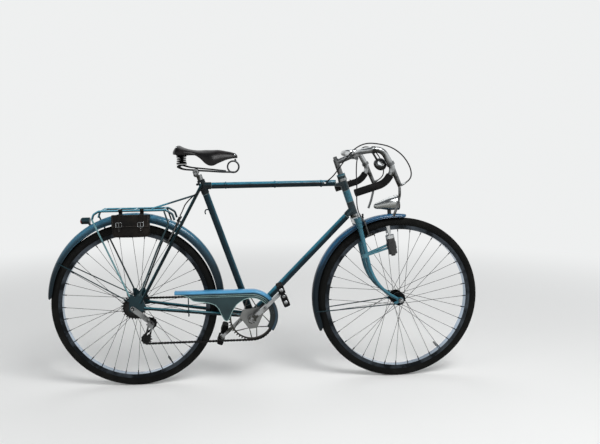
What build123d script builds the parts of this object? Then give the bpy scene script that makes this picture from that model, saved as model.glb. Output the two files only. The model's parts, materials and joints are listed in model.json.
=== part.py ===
# Sports bicycle with block pedals, chain guard, carrier, tool bag and bottle dynamo.
# Millimetres. X forward, Y to the rider's left, Z up. The origin is the sitting point
# on the saddle, where the rider holds the machine up.
from build123d import *
import os
from math import acos, asin, atan2, ceil, cos, degrees, hypot, pi, radians, sin, sqrt, tan

os.makedirs("parts", exist_ok=True)

# ---- Stance ----
saddle_height = 1000.0        # sitting point above the ground
saddle_over_post = 14.3       # sitting point ahead of the seat post's top
saddle_clamp_drop = 103.0     # saddle's rail clamp below the sitting point
tyre_radius = 350.0
wheelbase = 1132.0

# ---- Frame ----
seat_angle = 71.0
head_angle = 71.0
crank_ahead = 494.0           # crank axle ahead of the rear axle
crank_drop = 58.0             # crank axle below the wheel axles
post_showing = 22.0           # seat post between the seat lug and the saddle clamp
seat_lug_rise = 26.0          # seat lug above the top tube's line
fork_rake = 60.0
main_tube_radius = 14.3
top_tube_radius = 13.2
lug_wall = 1.8
lug_length = 34.0
head_tube_low = 412.0         # along the steering axis from the foot of the rake
head_tube_length = 150.0
head_tube_radius = 16.0
head_bore = 13.5
cup_radius = 19.0             # headset cups
cup_height = 12.0
top_joint_along = 553.0
down_joint_along = 432.0
shell_radius = 20.0
shell_half_width = 34.0
stay_root_y = 20.0            # chain stays at the bracket shell
stay_end_y = 60.0             # both stays at the fork ends
chainstay_root_radius = 8.0
chainstay_tip_radius = 6.5
seatstay_root_radius = 6.5
seatstay_tip_radius = 5.5
seatstay_root_y = 20.0
fork_end_thickness = 5.0
seat_post_radius = 12.6
seat_post_insert = 70.0

# ---- Wheels ----
tyre_section = 18.5           # radius of the tyre's round section
rim_outer_radius = 318.0
rim_inner_radius = 301.0
rim_half_width = 13.5
rim_wall = 2.2
spoke_count = 36
spoke_radius = 0.9
spoke_crosses = 3
nipple_radius = 2.1
nipple_length = 11.0
flange_radius = 29.0
flange_thickness = 3.0
spoke_circle_radius = 25.5
spoke_bend = 3.0              # spoke centre off the flange's middle
axle_radius = 5.0
running_gap = 0.05

# ---- Drive ----
chain_pitch = 12.7
chainring_teeth = 48
driven_teeth = 20
pulley_teeth = 10
chain_line = 43.0             # right of the middle
sprocket_spacing = 5.0
crank_length = 170.0
crank_rest_angle = 42.0       # right crank above level, forward
crank_axle_radius = 8.0

# ---- Mudguards ----
rear_guard_radius = 370.0
front_guard_radius = 356.0
mudguard_half_width = 25.0
mudguard_crown = 11.0         # outer middle above the two edges
mudguard_thickness = 1.4
seat_gap = 0.3                # between a piece and what carries it

# ---- Places worked out from the sizes above ----
post_high_along = (saddle_height - tyre_radius + crank_drop - saddle_clamp_drop) / sin(radians(seat_angle))
saddle_ahead = crank_ahead - post_high_along * cos(radians(seat_angle)) + saddle_over_post
seat_tube_length = post_high_along - post_showing - seat_lug_rise
ground_z = -saddle_height
axle_z = ground_z + tyre_radius
rear_x = -saddle_ahead
front_x = rear_x + wheelbase
crank_x = rear_x + crank_ahead
crank_z = axle_z - crank_drop
seat_up = Vector(-cos(radians(seat_angle)), 0, sin(radians(seat_angle)))
head_up = Vector(-cos(radians(head_angle)), 0, sin(radians(head_angle)))
head_ahead = Vector(sin(radians(head_angle)), 0, cos(radians(head_angle)))
front_axle = Vector(front_x, 0, axle_z)
rear_axle_centre = Vector(rear_x, 0, axle_z)
crank_centre = Vector(crank_x, 0, crank_z)
rake_foot = front_axle - head_ahead * fork_rake
seat_back = Vector(-sin(radians(seat_angle)), 0, -cos(radians(seat_angle)))
# middle of each mudguard's arc, its radius, and the angles where it starts and ends
mudguards = {
    "rear": (rear_axle_centre + Vector(10, 0, 25), rear_guard_radius, 178.0, -12.0),
    "front": (front_axle + Vector(-18, 0, 12), front_guard_radius, 205.0, 82.0),
}


def along_seat(distance, side=0.0):
    return crank_centre + seat_up * distance + Vector(0, side, 0)


def along_head(distance, ahead=0.0, side=0.0):
    return rake_foot + head_up * distance + head_ahead * ahead + Vector(0, side, 0)


def from_rear(x, side, z):
    return rear_axle_centre + Vector(x, side, z)


def from_crank(x, side, z):
    return crank_centre + Vector(x, side, z)


def from_front(x, side, z):
    return front_axle + Vector(x, side, z)


def side_plane(side):
    # sketches here use the bicycle's own X and Z, and extrude to the right
    return Plane(origin=(0, side, 0), x_dir=(1, 0, 0), z_dir=(0, -1, 0))


def rod(start, end, radius, mode=Mode.ADD):
    # round bar between two points
    run = Vector(*end) - Vector(*start)
    with BuildSketch(Plane(origin=start, z_dir=run)) as section:
        Circle(radius)
    extrude(section.sketch, amount=run.length, mode=mode)


def taper(start, end, start_radius, end_radius):
    # round bar whose radius changes evenly
    run = Vector(*end) - Vector(*start)
    with BuildSketch(Plane(origin=start, z_dir=run)) as first:
        Circle(start_radius)
    with BuildSketch(Plane(origin=end, z_dir=run)) as last:
        Circle(end_radius)
    loft([first.sketch, last.sketch])


def bent_rod(points, radii, radius):
    # round bar along straight runs joined by arcs
    with BuildLine() as route:
        FilletPolyline(*points, radius=radii)
    with BuildSketch(Plane(origin=route.line @ 0, z_dir=route.line % 0)) as section:
        Circle(radius)
    sweep(section.sketch, path=route.line)


def bent_taper(points, radii, start_radius, end_radius):
    # bent bar whose radius changes evenly
    with BuildLine() as route:
        FilletPolyline(*points, radius=radii)
    with BuildSketch(Plane(origin=route.line @ 0, z_dir=route.line % 0)) as first:
        Circle(start_radius)
    with BuildSketch(Plane(origin=route.line @ 1, z_dir=route.line % 1)) as last:
        Circle(end_radius)
    sweep([first.sketch, last.sketch], path=route.line, multisection=True)


def reach_arc(start, heading, centre, radius):
    # how far along a heading an arc's far side lies
    offset = start - centre
    back = offset.dot(heading)
    return sqrt(back**2 - offset.length**2 + radius**2) - back


def spacer(start, end, radius):
    # the mudguard is held a seat gap from this bar's end
    centre, guard_radius = mudguards[end][:2]
    outward = (start - centre).normalized()
    rod(centre + outward * (guard_radius + seat_gap), start, radius)


def finish(piece, name):
    piece.part.label = name
    export_step(piece.part, f"parts/{name}.step")


def pitch_radius(teeth):
    return chain_pitch / (2 * sin(pi / teeth))


# ================= Frame =================
seat_cluster = along_seat(seat_tube_length)
top_joint = along_head(top_joint_along)
down_joint = along_head(down_joint_along)
back_along_top = (seat_cluster - top_joint).normalized()
up_along_down = (down_joint - crank_centre).normalized()
bore_overrun = 1.0

with BuildPart() as head_tube:
    rod(along_head(head_tube_low), along_head(head_tube_low + head_tube_length), head_tube_radius)
    rod(top_joint, top_joint + back_along_top * lug_length, top_tube_radius + lug_wall)
    rod(down_joint, down_joint - up_along_down * lug_length, main_tube_radius + lug_wall)
    rod(
        along_head(head_tube_low - bore_overrun),
        along_head(head_tube_low + head_tube_length + bore_overrun),
        head_bore,
        mode=Mode.SUBTRACT,
    )
    # the lugs are faced off level with the tube's two ends
    rod(along_head(head_tube_low), along_head(head_tube_low - lug_length), 2 * cup_radius, mode=Mode.SUBTRACT)
    rod(
        along_head(head_tube_low + head_tube_length),
        along_head(head_tube_low + head_tube_length + lug_length),
        2 * cup_radius,
        mode=Mode.SUBTRACT,
    )
finish(head_tube, "head_tube")

with BuildPart() as top_tube:
    rod(top_joint + back_along_top * lug_length, seat_cluster - back_along_top * lug_length, top_tube_radius)
finish(top_tube, "top_tube")

with BuildPart() as down_tube:
    rod(crank_centre + up_along_down * 2 * lug_length, down_joint - up_along_down * lug_length, main_tube_radius)
finish(down_tube, "down_tube")

lug_ear_radius = 5.0
lug_ear_half_width = 12.0
with BuildPart() as seat_tube:
    rod(along_seat(2 * lug_length), along_seat(seat_tube_length - lug_length), main_tube_radius)
    rod(
        along_seat(seat_tube_length - lug_length),
        along_seat(seat_tube_length + seat_lug_rise),
        main_tube_radius + lug_wall,
    )
    rod(seat_cluster, seat_cluster - back_along_top * lug_length, top_tube_radius + lug_wall)
    lug_ear = along_seat(seat_tube_length + seat_lug_rise / 2) + seat_back * (main_tube_radius + lug_ear_radius)
    rod(
        lug_ear - Vector(0, lug_ear_half_width, 0),
        lug_ear + Vector(0, lug_ear_half_width, 0),
        lug_ear_radius,
    )
    rod(
        along_seat(seat_tube_length + seat_lug_rise - seat_post_insert),
        along_seat(seat_tube_length + seat_lug_rise + bore_overrun),
        seat_post_radius,
        mode=Mode.SUBTRACT,
    )
finish(seat_tube, "seat_tube")

chainstay_end = (46.0, 0.0)
seatstay_end = (32.0, 22.0)
chainstay_tip = {side: from_rear(chainstay_end[0], side * stay_end_y, chainstay_end[1]) for side in (-1, 1)}
seatstay_tip = {side: from_rear(seatstay_end[0], side * stay_end_y, seatstay_end[1]) for side in (-1, 1)}
chainstay_root = {side: from_crank(0, side * stay_root_y, 0) for side in (-1, 1)}
seatstay_root = {side: along_seat(seat_tube_length + 8, side * seatstay_root_y) for side in (-1, 1)}

with BuildPart() as bottom_bracket:
    rod(from_crank(0, -shell_half_width, 0), from_crank(0, shell_half_width, 0), shell_radius)
    rod(crank_centre, along_seat(2 * lug_length), main_tube_radius + lug_wall)
    rod(crank_centre, crank_centre + up_along_down * 2 * lug_length, main_tube_radius + lug_wall)
    for side in (-1, 1):
        stay_run = (chainstay_tip[side] - chainstay_root[side]).normalized()
        rod(chainstay_root[side], chainstay_root[side] + stay_run * lug_length, chainstay_root_radius + lug_wall)
    rod(
        from_crank(0, -shell_half_width - bore_overrun, 0),
        from_crank(0, shell_half_width + bore_overrun, 0),
        crank_axle_radius + running_gap,
        mode=Mode.SUBTRACT,
    )
finish(bottom_bracket, "bottom_bracket")

fork_end_inner = stay_end_y
fork_end_outline = [
    (-16, -10),
    (6, -18),
    (54, -9),
    (54, 7),
    (44, 34),
    (36, 62),
    (24, 62),
    (10, 48),
    (-4, 62),
    (-18, 60),
    (-14, 20),
]
bridge_radius = 5.0
spacer_radius = 3.5
with BuildPart() as dropouts:
    for side in (-1, 1):
        with BuildSketch(side_plane(side * stay_end_y)) as fork_end:
            with Locations((rear_x, axle_z)):
                Polygon(*fork_end_outline, align=None)
                Circle(axle_radius + 0.1, mode=Mode.SUBTRACT)
        extrude(amount=fork_end_thickness / 2, both=True)
finish(dropouts, "dropouts")

with BuildPart() as chainstays:
    for side in (-1, 1):
        stay_run = (chainstay_tip[side] - chainstay_root[side]).normalized()
        taper(
            chainstay_root[side] + stay_run * lug_length,
            chainstay_tip[side],
            chainstay_root_radius,
            chainstay_tip_radius,
        )
    bridge_share = 0.24
    bridge_mid = chainstay_root[1] + (chainstay_tip[1] - chainstay_root[1]) * bridge_share
    rod((bridge_mid.X, -bridge_mid.Y, bridge_mid.Z), bridge_mid, bridge_radius)
    spacer(Vector(bridge_mid.X, 0, bridge_mid.Z), "rear", spacer_radius)
    add(dropouts.part, mode=Mode.SUBTRACT)
finish(chainstays, "chainstays")

with BuildPart() as seatstays:
    for side in (-1, 1):
        taper(seatstay_root[side], seatstay_tip[side], seatstay_root_radius, seatstay_tip_radius)
    brake_bridge_share = 0.33
    brake_bridge = seatstay_root[1] + (seatstay_tip[1] - seatstay_root[1]) * brake_bridge_share
    rod((brake_bridge.X, -brake_bridge.Y, brake_bridge.Z), brake_bridge, bridge_radius)
    spacer(Vector(brake_bridge.X, 0, brake_bridge.Z), "rear", spacer_radius)
    add(dropouts.part, mode=Mode.SUBTRACT)
    add(seat_tube.part, mode=Mode.SUBTRACT)
finish(seatstays, "seatstays")

# ================= Wheels =================
hub_sides = {"front": (-26.0, 26.0, 46.0, 46.0), "rear": (-24.0, 32.0, 30.0, 55.0)}
hub_barrel_radius = 13.0
rim_gap = 0.7
for end, wheel_x in (("front", front_x), ("rear", rear_x)):
    wheel_centre = Vector(wheel_x, 0, axle_z)
    wheel_axis = Axis(wheel_centre, (0, 1, 0))
    # local x of this plane is the bicycle's Y, local y is the radius
    wheel_section = Plane(origin=wheel_centre, x_dir=(0, 1, 0), z_dir=(1, 0, 0))

    with BuildPart() as tyre:
        with BuildSketch(wheel_section):
            with Locations((0, tyre_radius - tyre_section)):
                Circle(tyre_section)
            with Locations((0, rim_outer_radius)):
                Rectangle(
                    2 * tyre_section,
                    2 * tyre_section,
                    align=(Align.CENTER, Align.MAX),
                    mode=Mode.SUBTRACT,
                )
                Rectangle(
                    2 * (rim_half_width - rim_wall),
                    rim_outer_radius - rim_inner_radius - rim_wall,
                    align=(Align.CENTER, Align.MAX),
                )
        revolve(axis=wheel_axis)
    finish(tyre, f"{end}_tyre")

    with BuildPart() as rim:
        with BuildSketch(wheel_section):
            with Locations((0, rim_outer_radius)):
                Rectangle(
                    2 * rim_half_width,
                    rim_outer_radius - rim_inner_radius,
                    align=(Align.CENTER, Align.MAX),
                )
                Rectangle(
                    2 * (rim_half_width - rim_wall),
                    rim_outer_radius - rim_inner_radius - rim_wall,
                    align=(Align.CENTER, Align.MAX),
                    mode=Mode.SUBTRACT,
                )
        revolve(axis=wheel_axis)
    finish(rim, f"{end}_rim")

    right_flange, left_flange, right_reach, left_reach = hub_sides[end]
    spoke_planes = []
    nipple_planes = []
    bend_planes = []
    spoke_lengths = []
    holes_a_side = spoke_count // 2
    hole_step = 360.0 / holes_a_side
    for flange_y, phase in ((right_flange, 0.0), (left_flange, hole_step / 2)):
        for hole in range(holes_a_side):
            leads = 1 if hole % 2 else -1
            hub_angle = radians(phase + hole * hole_step)
            rim_angle = hub_angle + leads * radians(spoke_crosses * hole_step)
            outward = 1 if flange_y > 0 else -1
            hub_end = wheel_centre + Vector(
                spoke_circle_radius * cos(hub_angle),
                flange_y + leads * spoke_bend,
                spoke_circle_radius * sin(hub_angle),
            )
            rim_end = wheel_centre + Vector(
                (rim_inner_radius - rim_gap) * cos(rim_angle),
                outward * 3.0,
                (rim_inner_radius - rim_gap) * sin(rim_angle),
            )
            run = rim_end - hub_end
            spoke_planes.append(Plane(origin=hub_end, z_dir=run))
            nipple_planes.append(Plane(origin=rim_end, z_dir=run * -1))
            bend_planes.append(Plane(origin=hub_end, z_dir=(0, -leads, 0)))
            spoke_lengths.append(run.length)

    with BuildPart() as hub:
        with BuildSketch(wheel_section):
            for flange_y in (right_flange, left_flange):
                with Locations((flange_y, 0)):
                    Rectangle(flange_thickness, flange_radius, align=(Align.CENTER, Align.MIN))
            with Locations((-right_reach, 0)):
                Rectangle(right_reach + left_reach, hub_barrel_radius, align=(Align.MIN, Align.MIN))
            with Locations((-right_reach, 0)):
                Rectangle(
                    right_reach + left_reach,
                    axle_radius + running_gap,
                    align=(Align.MIN, Align.MIN),
                    mode=Mode.SUBTRACT,
                )
        revolve(axis=wheel_axis)
        with Locations(*spoke_planes[:holes_a_side]):
            Cylinder(spoke_radius, spoke_lengths[0], align=(Align.CENTER, Align.CENTER, Align.MIN))
        with Locations(*spoke_planes[holes_a_side:]):
            Cylinder(spoke_radius, spoke_lengths[-1], align=(Align.CENTER, Align.CENTER, Align.MIN))
        with Locations(*nipple_planes):
            Cylinder(nipple_radius, nipple_length, align=(Align.CENTER, Align.CENTER, Align.MIN))
        with Locations(*bend_planes):
            Cylinder(1.2 * spoke_radius, 2 * spoke_bend, align=(Align.CENTER, Align.CENTER, Align.CENTER))
    finish(hub, f"{end}_hub")

# ================= Axles =================
axle_reach = {"front": 66.0, "rear": 80.0}
hanger_thickness = 3.0
nut_radius = 8.5
nut_thickness = 8.0
washer_radius = 10.0
washer_thickness = 2.0
fork_tip_y = {"front": 52.5, "rear": stay_end_y}
hub_reach = {"front": (46.0, 46.0), "rear": (52.5, 55.0)}
cone_radius = 9.0
cone_gap = 0.5
for end, wheel_x in (("front", front_x), ("rear", rear_x)):
    wheel_centre = Vector(wheel_x, 0, axle_z)
    plate_half = fork_end_thickness / 2
    with BuildPart() as axle:
        reach = Vector(0, axle_reach[end], 0)
        rod(wheel_centre - reach, wheel_centre + reach, axle_radius)
        for side in (-1, 1):
            hanger = hanger_thickness if (end, side) == ("rear", -1) else 0.0
            washer_y = side * (fork_tip_y[end] + plate_half + hanger)
            nut_y = washer_y + side * washer_thickness
            rod(
                wheel_centre + Vector(0, washer_y, 0),
                wheel_centre + Vector(0, nut_y, 0),
                washer_radius,
            )
            with BuildSketch(Plane(origin=wheel_centre + Vector(0, nut_y, 0), z_dir=(0, side, 0))):
                RegularPolygon(nut_radius, 6)
            extrude(amount=nut_thickness)
            cone_start = side * (hub_reach[end][(side + 1) // 2] + cone_gap)
            cone_end = side * (fork_tip_y[end] - plate_half)
            rod(
                wheel_centre + Vector(0, cone_start, 0),
                wheel_centre + Vector(0, cone_end, 0),
                cone_radius,
            )
    finish(axle, f"{end}_axle")

# ================= Drive =================
roller_clearance = 0.35
roller_radius = 3.7
tooth_height = 3.4
sprocket_thickness = 1.8
freewheel_inner_y = 31.0
freewheel_outer_y = 52.0
freewheel_core_radius = 24.0
cluster_teeth = (24, driven_teeth, 16)


def toothed_ring(teeth, phase, tooth_plane, thickness, height=tooth_height):
    # disc with a roller seat and a flared way in at every tooth gap
    radius = pitch_radius(teeth)
    seat = roller_radius + roller_clearance
    with BuildSketch(tooth_plane) as outline:
        Circle(radius + height)
        with PolarLocations(radius, teeth, start_angle=phase):
            Circle(seat, mode=Mode.SUBTRACT)
            Polygon(
                (0, -seat),
                (2 * tooth_height, -seat - tooth_height / 2),
                (2 * tooth_height, seat + tooth_height / 2),
                (0, seat),
                align=None,
                mode=Mode.SUBTRACT,
            )
    extrude(outline.sketch, amount=thickness / 2, both=True)


# The chain runs over the chain wheel and the driven sprocket, then round the front of
# the guide pulley and the back of the tension pulley. Angles are seen from the right,
# turning from forward towards up.
guide_pulley = (rear_x + 71.0, axle_z - 68.0)
cage_length = 72.0
cage_angle_nominal = -104.0
chain_ring = (crank_x, crank_z)
rear_sprocket = (rear_x, axle_z)
ring_radius = pitch_radius(chainring_teeth)
driven_radius = pitch_radius(driven_teeth)
pulley_radius = pitch_radius(pulley_teeth)


def tension_pulley_at(cage_angle):
    return (
        guide_pulley[0] + cage_length * cos(radians(cage_angle)),
        guide_pulley[1] + cage_length * sin(radians(cage_angle)),
    )


def tangent_angle(first, first_turn, second, second_turn):
    # angle of the normal at which a belt leaves one wheel for the next;
    # each turn is the wheel's radius, plus when it turns clockwise, minus when not
    across = second[0] - first[0]
    up = second[1] - first[1]
    return atan2(up, across) + acos((first_turn - second_turn) / hypot(across, up))


def chain_stretches(cage_angle):
    # (wheel, signed radius, teeth) in the order in which the chain meets them
    wheels = [
        (chain_ring, ring_radius, chainring_teeth),
        (tension_pulley_at(cage_angle), pulley_radius, pulley_teeth),
        (guide_pulley, -pulley_radius, pulley_teeth),
        (rear_sprocket, driven_radius, driven_teeth),
    ]
    leaves = []
    for number, (centre, radius, teeth) in enumerate(wheels):
        after = wheels[(number + 1) % len(wheels)]
        leaves.append(tangent_angle(centre, radius, after[0], after[1]))
    stretches = []
    for number, (centre, radius, teeth) in enumerate(wheels):
        flip = 0.0 if radius > 0 else pi
        arrive = leaves[number - 1] + flip
        leave = leaves[number] + flip
        if radius > 0:
            turn = -((arrive - leave) % (2 * pi))
        else:
            turn = (leave - arrive) % (2 * pi)
        after = wheels[(number + 1) % len(wheels)]
        start = (centre[0] + abs(radius) * cos(leave), centre[1] + abs(radius) * sin(leave))
        end_flip = 0.0 if after[1] > 0 else pi
        end_angle = leaves[number] + end_flip
        finish_point = (
            after[0][0] + abs(after[1]) * cos(end_angle),
            after[0][1] + abs(after[1]) * sin(end_angle),
        )
        stretches.append(("arc", centre, abs(radius), teeth, arrive, turn))
        stretches.append(("run", start, finish_point))
    return stretches


def stretch_links(stretch):
    # how many links a stretch holds
    if stretch[0] == "arc":
        return abs(stretch[5]) * stretch[3] / (2 * pi)
    return hypot(stretch[2][0] - stretch[1][0], stretch[2][1] - stretch[1][1]) / chain_pitch


def chain_links(cage_angle):
    return sum(stretch_links(stretch) for stretch in chain_stretches(cage_angle))


def pin_place(stretches, links):
    # where a pin sits this many links along the loop, and on which stretch
    for number, stretch in enumerate(stretches):
        held = stretch_links(stretch)
        if links <= held:
            share = links / held
            if stretch[0] == "arc":
                angle = stretch[4] + stretch[5] * share
                return (
                    stretch[1][0] + stretch[2] * cos(angle),
                    stretch[1][1] + stretch[2] * sin(angle),
                    number,
                )
            return (
                stretch[1][0] + (stretch[2][0] - stretch[1][0]) * share,
                stretch[1][1] + (stretch[2][1] - stretch[1][1]) * share,
                number,
            )
        links -= held
    return pin_place(stretches, 0.0)


# the cage swings until the loop holds an even number of links
link_count = 2 * round(chain_links(cage_angle_nominal) / 2)
cage_low = cage_angle_nominal - 30.0
cage_high = cage_angle_nominal + 30.0
grows = chain_links(cage_high) > chain_links(cage_low)
for halving in range(50):
    cage_angle = (cage_low + cage_high) / 2
    if (chain_links(cage_angle) > link_count) == grows:
        cage_high = cage_angle
    else:
        cage_low = cage_angle
tension_pulley = tension_pulley_at(cage_angle)
loop = chain_stretches(cage_angle)
placed_pins = [pin_place(loop, number + 0.0) for number in range(link_count)]
pins = [(x, z) for x, z, stretch in placed_pins]


def phase_on(centre):
    # angle of a pin that lies on this wheel, for its tooth gaps
    for x, z, stretch in placed_pins:
        if loop[stretch][0] == "arc" and loop[stretch][1] == centre:
            return degrees(atan2(z - centre[1], x - centre[0]))


plate_gap = 1.5               # chain plates' inner faces off the chain line
plate_thickness = 1.5
plate_half_height = 4.0
# rollers are made where the turning teeth pass clear of them
turning_teeth = [(chain_ring, ring_radius + tooth_height), (rear_sprocket, driven_radius + tooth_height)]
roller_pins = []
for x, z in pins:
    gaps = [hypot(x - centre[0], z - centre[1]) - reach for centre, reach in turning_teeth]
    if min(gaps) > roller_radius + roller_clearance:
        roller_pins.append((x, z))
with BuildPart() as chain:
    outer_edge = []
    inner_edge = []
    for number in range(link_count):
        before = Vector(*pins[number - 1])
        after = Vector(*pins[(number + 1) % link_count])
        along = (after - before).normalized()
        pin = Vector(*pins[number])
        outer_edge.append(pin + Vector(-along.Y, along.X) * plate_half_height)
        inner_edge.append(pin - Vector(-along.Y, along.X) * plate_half_height)
    for side in (-1, 1):
        plate_y = -chain_line + side * (plate_gap + plate_thickness / 2)
        with BuildSketch(side_plane(plate_y)) as band:
            Polygon(*outer_edge, align=None)
            Polygon(*inner_edge, align=None, mode=Mode.SUBTRACT)
        extrude(band.sketch, amount=plate_thickness / 2, both=True)
    with BuildSketch(side_plane(-chain_line)) as rollers:
        with Locations(*roller_pins):
            RegularPolygon(roller_radius, 6)
    extrude(rollers.sketch, amount=plate_gap, both=True)
finish(chain, "chain")

with BuildPart() as freewheel:
    rod(from_rear(0, -freewheel_inner_y, 0), from_rear(0, -freewheel_outer_y, 0), freewheel_core_radius)
    for place, teeth in enumerate(cluster_teeth):
        sprocket_y = -chain_line + (1 - place) * sprocket_spacing
        with BuildSketch(Plane(origin=(rear_x, sprocket_y, axle_z), x_dir=(1, 0, 0), z_dir=(0, -1, 0))) as rim_disc:
            Circle(pitch_radius(teeth) - roller_radius - 1)
        extrude(rim_disc.sketch, amount=sprocket_thickness / 2, both=True)
        toothed_ring(
            teeth,
            phase_on(rear_sprocket),
            Plane(origin=(rear_x, sprocket_y, axle_z), x_dir=(1, 0, 0), z_dir=(0, -1, 0)),
            sprocket_thickness,
        )
    rod(
        from_rear(0, -freewheel_inner_y + bore_overrun, 0),
        from_rear(0, -freewheel_outer_y - bore_overrun, 0),
        axle_radius + running_gap,
        mode=Mode.SUBTRACT,
    )
finish(freewheel, "freewheel")

crank_inner_y = 67.0
crank_thickness = 13.0
crank_boss_radius = 18.0
crank_eye_radius = 11.0
crank_root_half = 9.5         # arm's half width at the boss and at the eye
crank_end_half = 6.5
pedal_axle_radius = 5.0
pedal_inner_y = 86.0
pedal_width = 66.0
pedal_length = 92.0
pedal_thickness = 27.0
pedal_barrel_radius = 9.0
pedal_plate_thickness = 3.0
pedal_slot = 24.0             # between the two rubber blocks
pedal_tilt = {"right": -70.0, "left": 70.0}
ring_rim_width = 6.5          # below the tooth gaps
spider_lobe_radius = 51.0
spider_lobe_turn = 20.0       # from a lobe's middle to its corners
spider_angle = crank_rest_angle - 6.0
brace_half_width = 2.0
brace_turns = (7.0, 56.0)     # from a lobe's middle to where its braces meet the rim
crank_dir = {
    "right": Vector(cos(radians(crank_rest_angle)), 0, sin(radians(crank_rest_angle))),
    "left": Vector(-cos(radians(crank_rest_angle)), 0, -sin(radians(crank_rest_angle))),
}
side_sign = {"right": -1, "left": 1}

ring_inner_radius = ring_radius - roller_radius - ring_rim_width
ring_plane = Plane(origin=(crank_x, -chain_line, crank_z), x_dir=(1, 0, 0), z_dir=(0, -1, 0))


def polar(radius, angle):
    return Vector(radius * cos(radians(angle)), radius * sin(radians(angle)))


with BuildPart() as chainring:
    toothed_ring(chainring_teeth, phase_on(chain_ring), ring_plane, sprocket_thickness)
    with BuildSketch(ring_plane) as ring_window:
        Circle(ring_inner_radius)
    extrude(ring_window.sketch, amount=sprocket_thickness, both=True, mode=Mode.SUBTRACT)
    # three-lobed plate, with four thin braces from each lobe to the rim
    with BuildSketch(ring_plane) as spider:
        corners = []
        for lobe in range(3):
            lobe_angle = spider_angle + 120 * lobe
            for turn in (-1, 1):
                corner = polar(spider_lobe_radius, lobe_angle + turn * spider_lobe_turn)
                corners.append(corner)
                for brace_turn in brace_turns:
                    rim_end = polar(ring_inner_radius + 1, lobe_angle + turn * brace_turn)
                    root = corner * 0.9
                    across = (rim_end - root).normalized() * brace_half_width
                    across = Vector(-across.Y, across.X)
                    Polygon(root - across, rim_end - across, rim_end + across, root + across, align=None)
        Polygon(*corners, align=None)
        Circle(crank_axle_radius, mode=Mode.SUBTRACT)
    extrude(spider.sketch, amount=sprocket_thickness / 2, both=True)
finish(chainring, "chainring")

with BuildPart() as crank_axle:
    rod(
        from_crank(0, -crank_inner_y - crank_thickness / 2, 0),
        from_crank(0, crank_inner_y + crank_thickness / 2, 0),
        crank_axle_radius,
    )
finish(crank_axle, "crank_axle")

for hand in ("right", "left"):
    outward = side_sign[hand]
    inner = outward * crank_inner_y
    eye = crank_dir[hand] * crank_length
    with BuildPart() as crank:
        arm_mid_y = inner + outward * crank_thickness / 2
        rod(
            from_crank(0, outward * (crank_inner_y if hand == "left" else chain_line + 2), 0),
            from_crank(0, inner + outward * crank_thickness, 0),
            crank_boss_radius,
        )
        rod(
            from_crank(eye.X, inner, eye.Z),
            from_crank(eye.X, inner + outward * crank_thickness, eye.Z),
            crank_eye_radius,
        )
        with BuildSketch(
            Plane(
                origin=from_crank(eye.X / 2, arm_mid_y, eye.Z / 2),
                x_dir=crank_dir[hand],
                z_dir=(0, 1, 0),
            )
        ) as arm:
            Polygon(
                (-crank_length / 2, -crank_root_half),
                (crank_length / 2, -crank_end_half),
                (crank_length / 2, crank_end_half),
                (-crank_length / 2, crank_root_half),
                align=None,
            )
        extrude(arm.sketch, amount=crank_thickness / 2, both=True)
        rod(
            from_crank(eye.X, inner + outward * crank_thickness, eye.Z),
            from_crank(eye.X, outward * (pedal_inner_y + pedal_width + 2), eye.Z),
            pedal_axle_radius,
        )
        add(crank_axle.part, mode=Mode.SUBTRACT)
    finish(crank, f"{hand}_crank")

    with BuildPart() as pedal:
        pedal_plane = Plane(
            origin=from_crank(eye.X, outward * (pedal_inner_y + pedal_width / 2), eye.Z),
            x_dir=(cos(radians(pedal_tilt[hand])), 0, sin(radians(pedal_tilt[hand]))),
            z_dir=(0, 1, 0),
        )
        # two rubber blocks and the axle's barrel between end plates
        with BuildSketch(pedal_plane) as blocks:
            RectangleRounded(pedal_length, pedal_thickness, pedal_thickness / 4)
            Rectangle(pedal_slot, pedal_thickness, mode=Mode.SUBTRACT)
            Circle(pedal_barrel_radius)
            Circle(pedal_axle_radius + running_gap, mode=Mode.SUBTRACT)
        extrude(blocks.sketch, amount=pedal_width / 2, both=True)
        for place in (-1, 1):
            plate_plane = pedal_plane.offset(place * (pedal_width - pedal_plate_thickness) / 2)
            with BuildSketch(plate_plane) as end_plate:
                SlotOverall(pedal_length - pedal_thickness / 2, 2 * pedal_barrel_radius)
                Circle(pedal_axle_radius + running_gap, mode=Mode.SUBTRACT)
            extrude(end_plate.sketch, amount=pedal_plate_thickness / 2, both=True)
    finish(pedal, f"{hand}_pedal")

# ================= Fork and headset =================
steerer_radius = 12.7
crown_high = 396.0
crown_half_depth = 14.5
crown_over_guard = 3.2        # crown's underside above the mudguard
sleeve_drop = 21.0            # crown's sleeves down the blades
sleeve_wall = 2.0
blade_y = 38.5
blade_top_radius = 10.5
blade_tip_radius = 6.5
steerer_top = 592.0
upper_cup_height = 11.0
headset_gap = 0.5
head_tube_high = head_tube_low + head_tube_length
guard_on_head = reach_arc(rake_foot, head_up, *mudguards["front"][:2])
crown_arch = guard_on_head + crown_over_guard
crown_low = crown_arch - sleeve_drop

with BuildPart() as headset:
    rod(along_head(head_tube_low), along_head(head_tube_low - cup_height), cup_radius)
    rod(along_head(head_tube_high), along_head(head_tube_high + upper_cup_height), cup_radius)
    rod(
        along_head(head_tube_low - cup_height - bore_overrun),
        along_head(head_tube_high + upper_cup_height + bore_overrun),
        steerer_radius + running_gap,
        mode=Mode.SUBTRACT,
    )
finish(headset, "headset")

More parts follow.
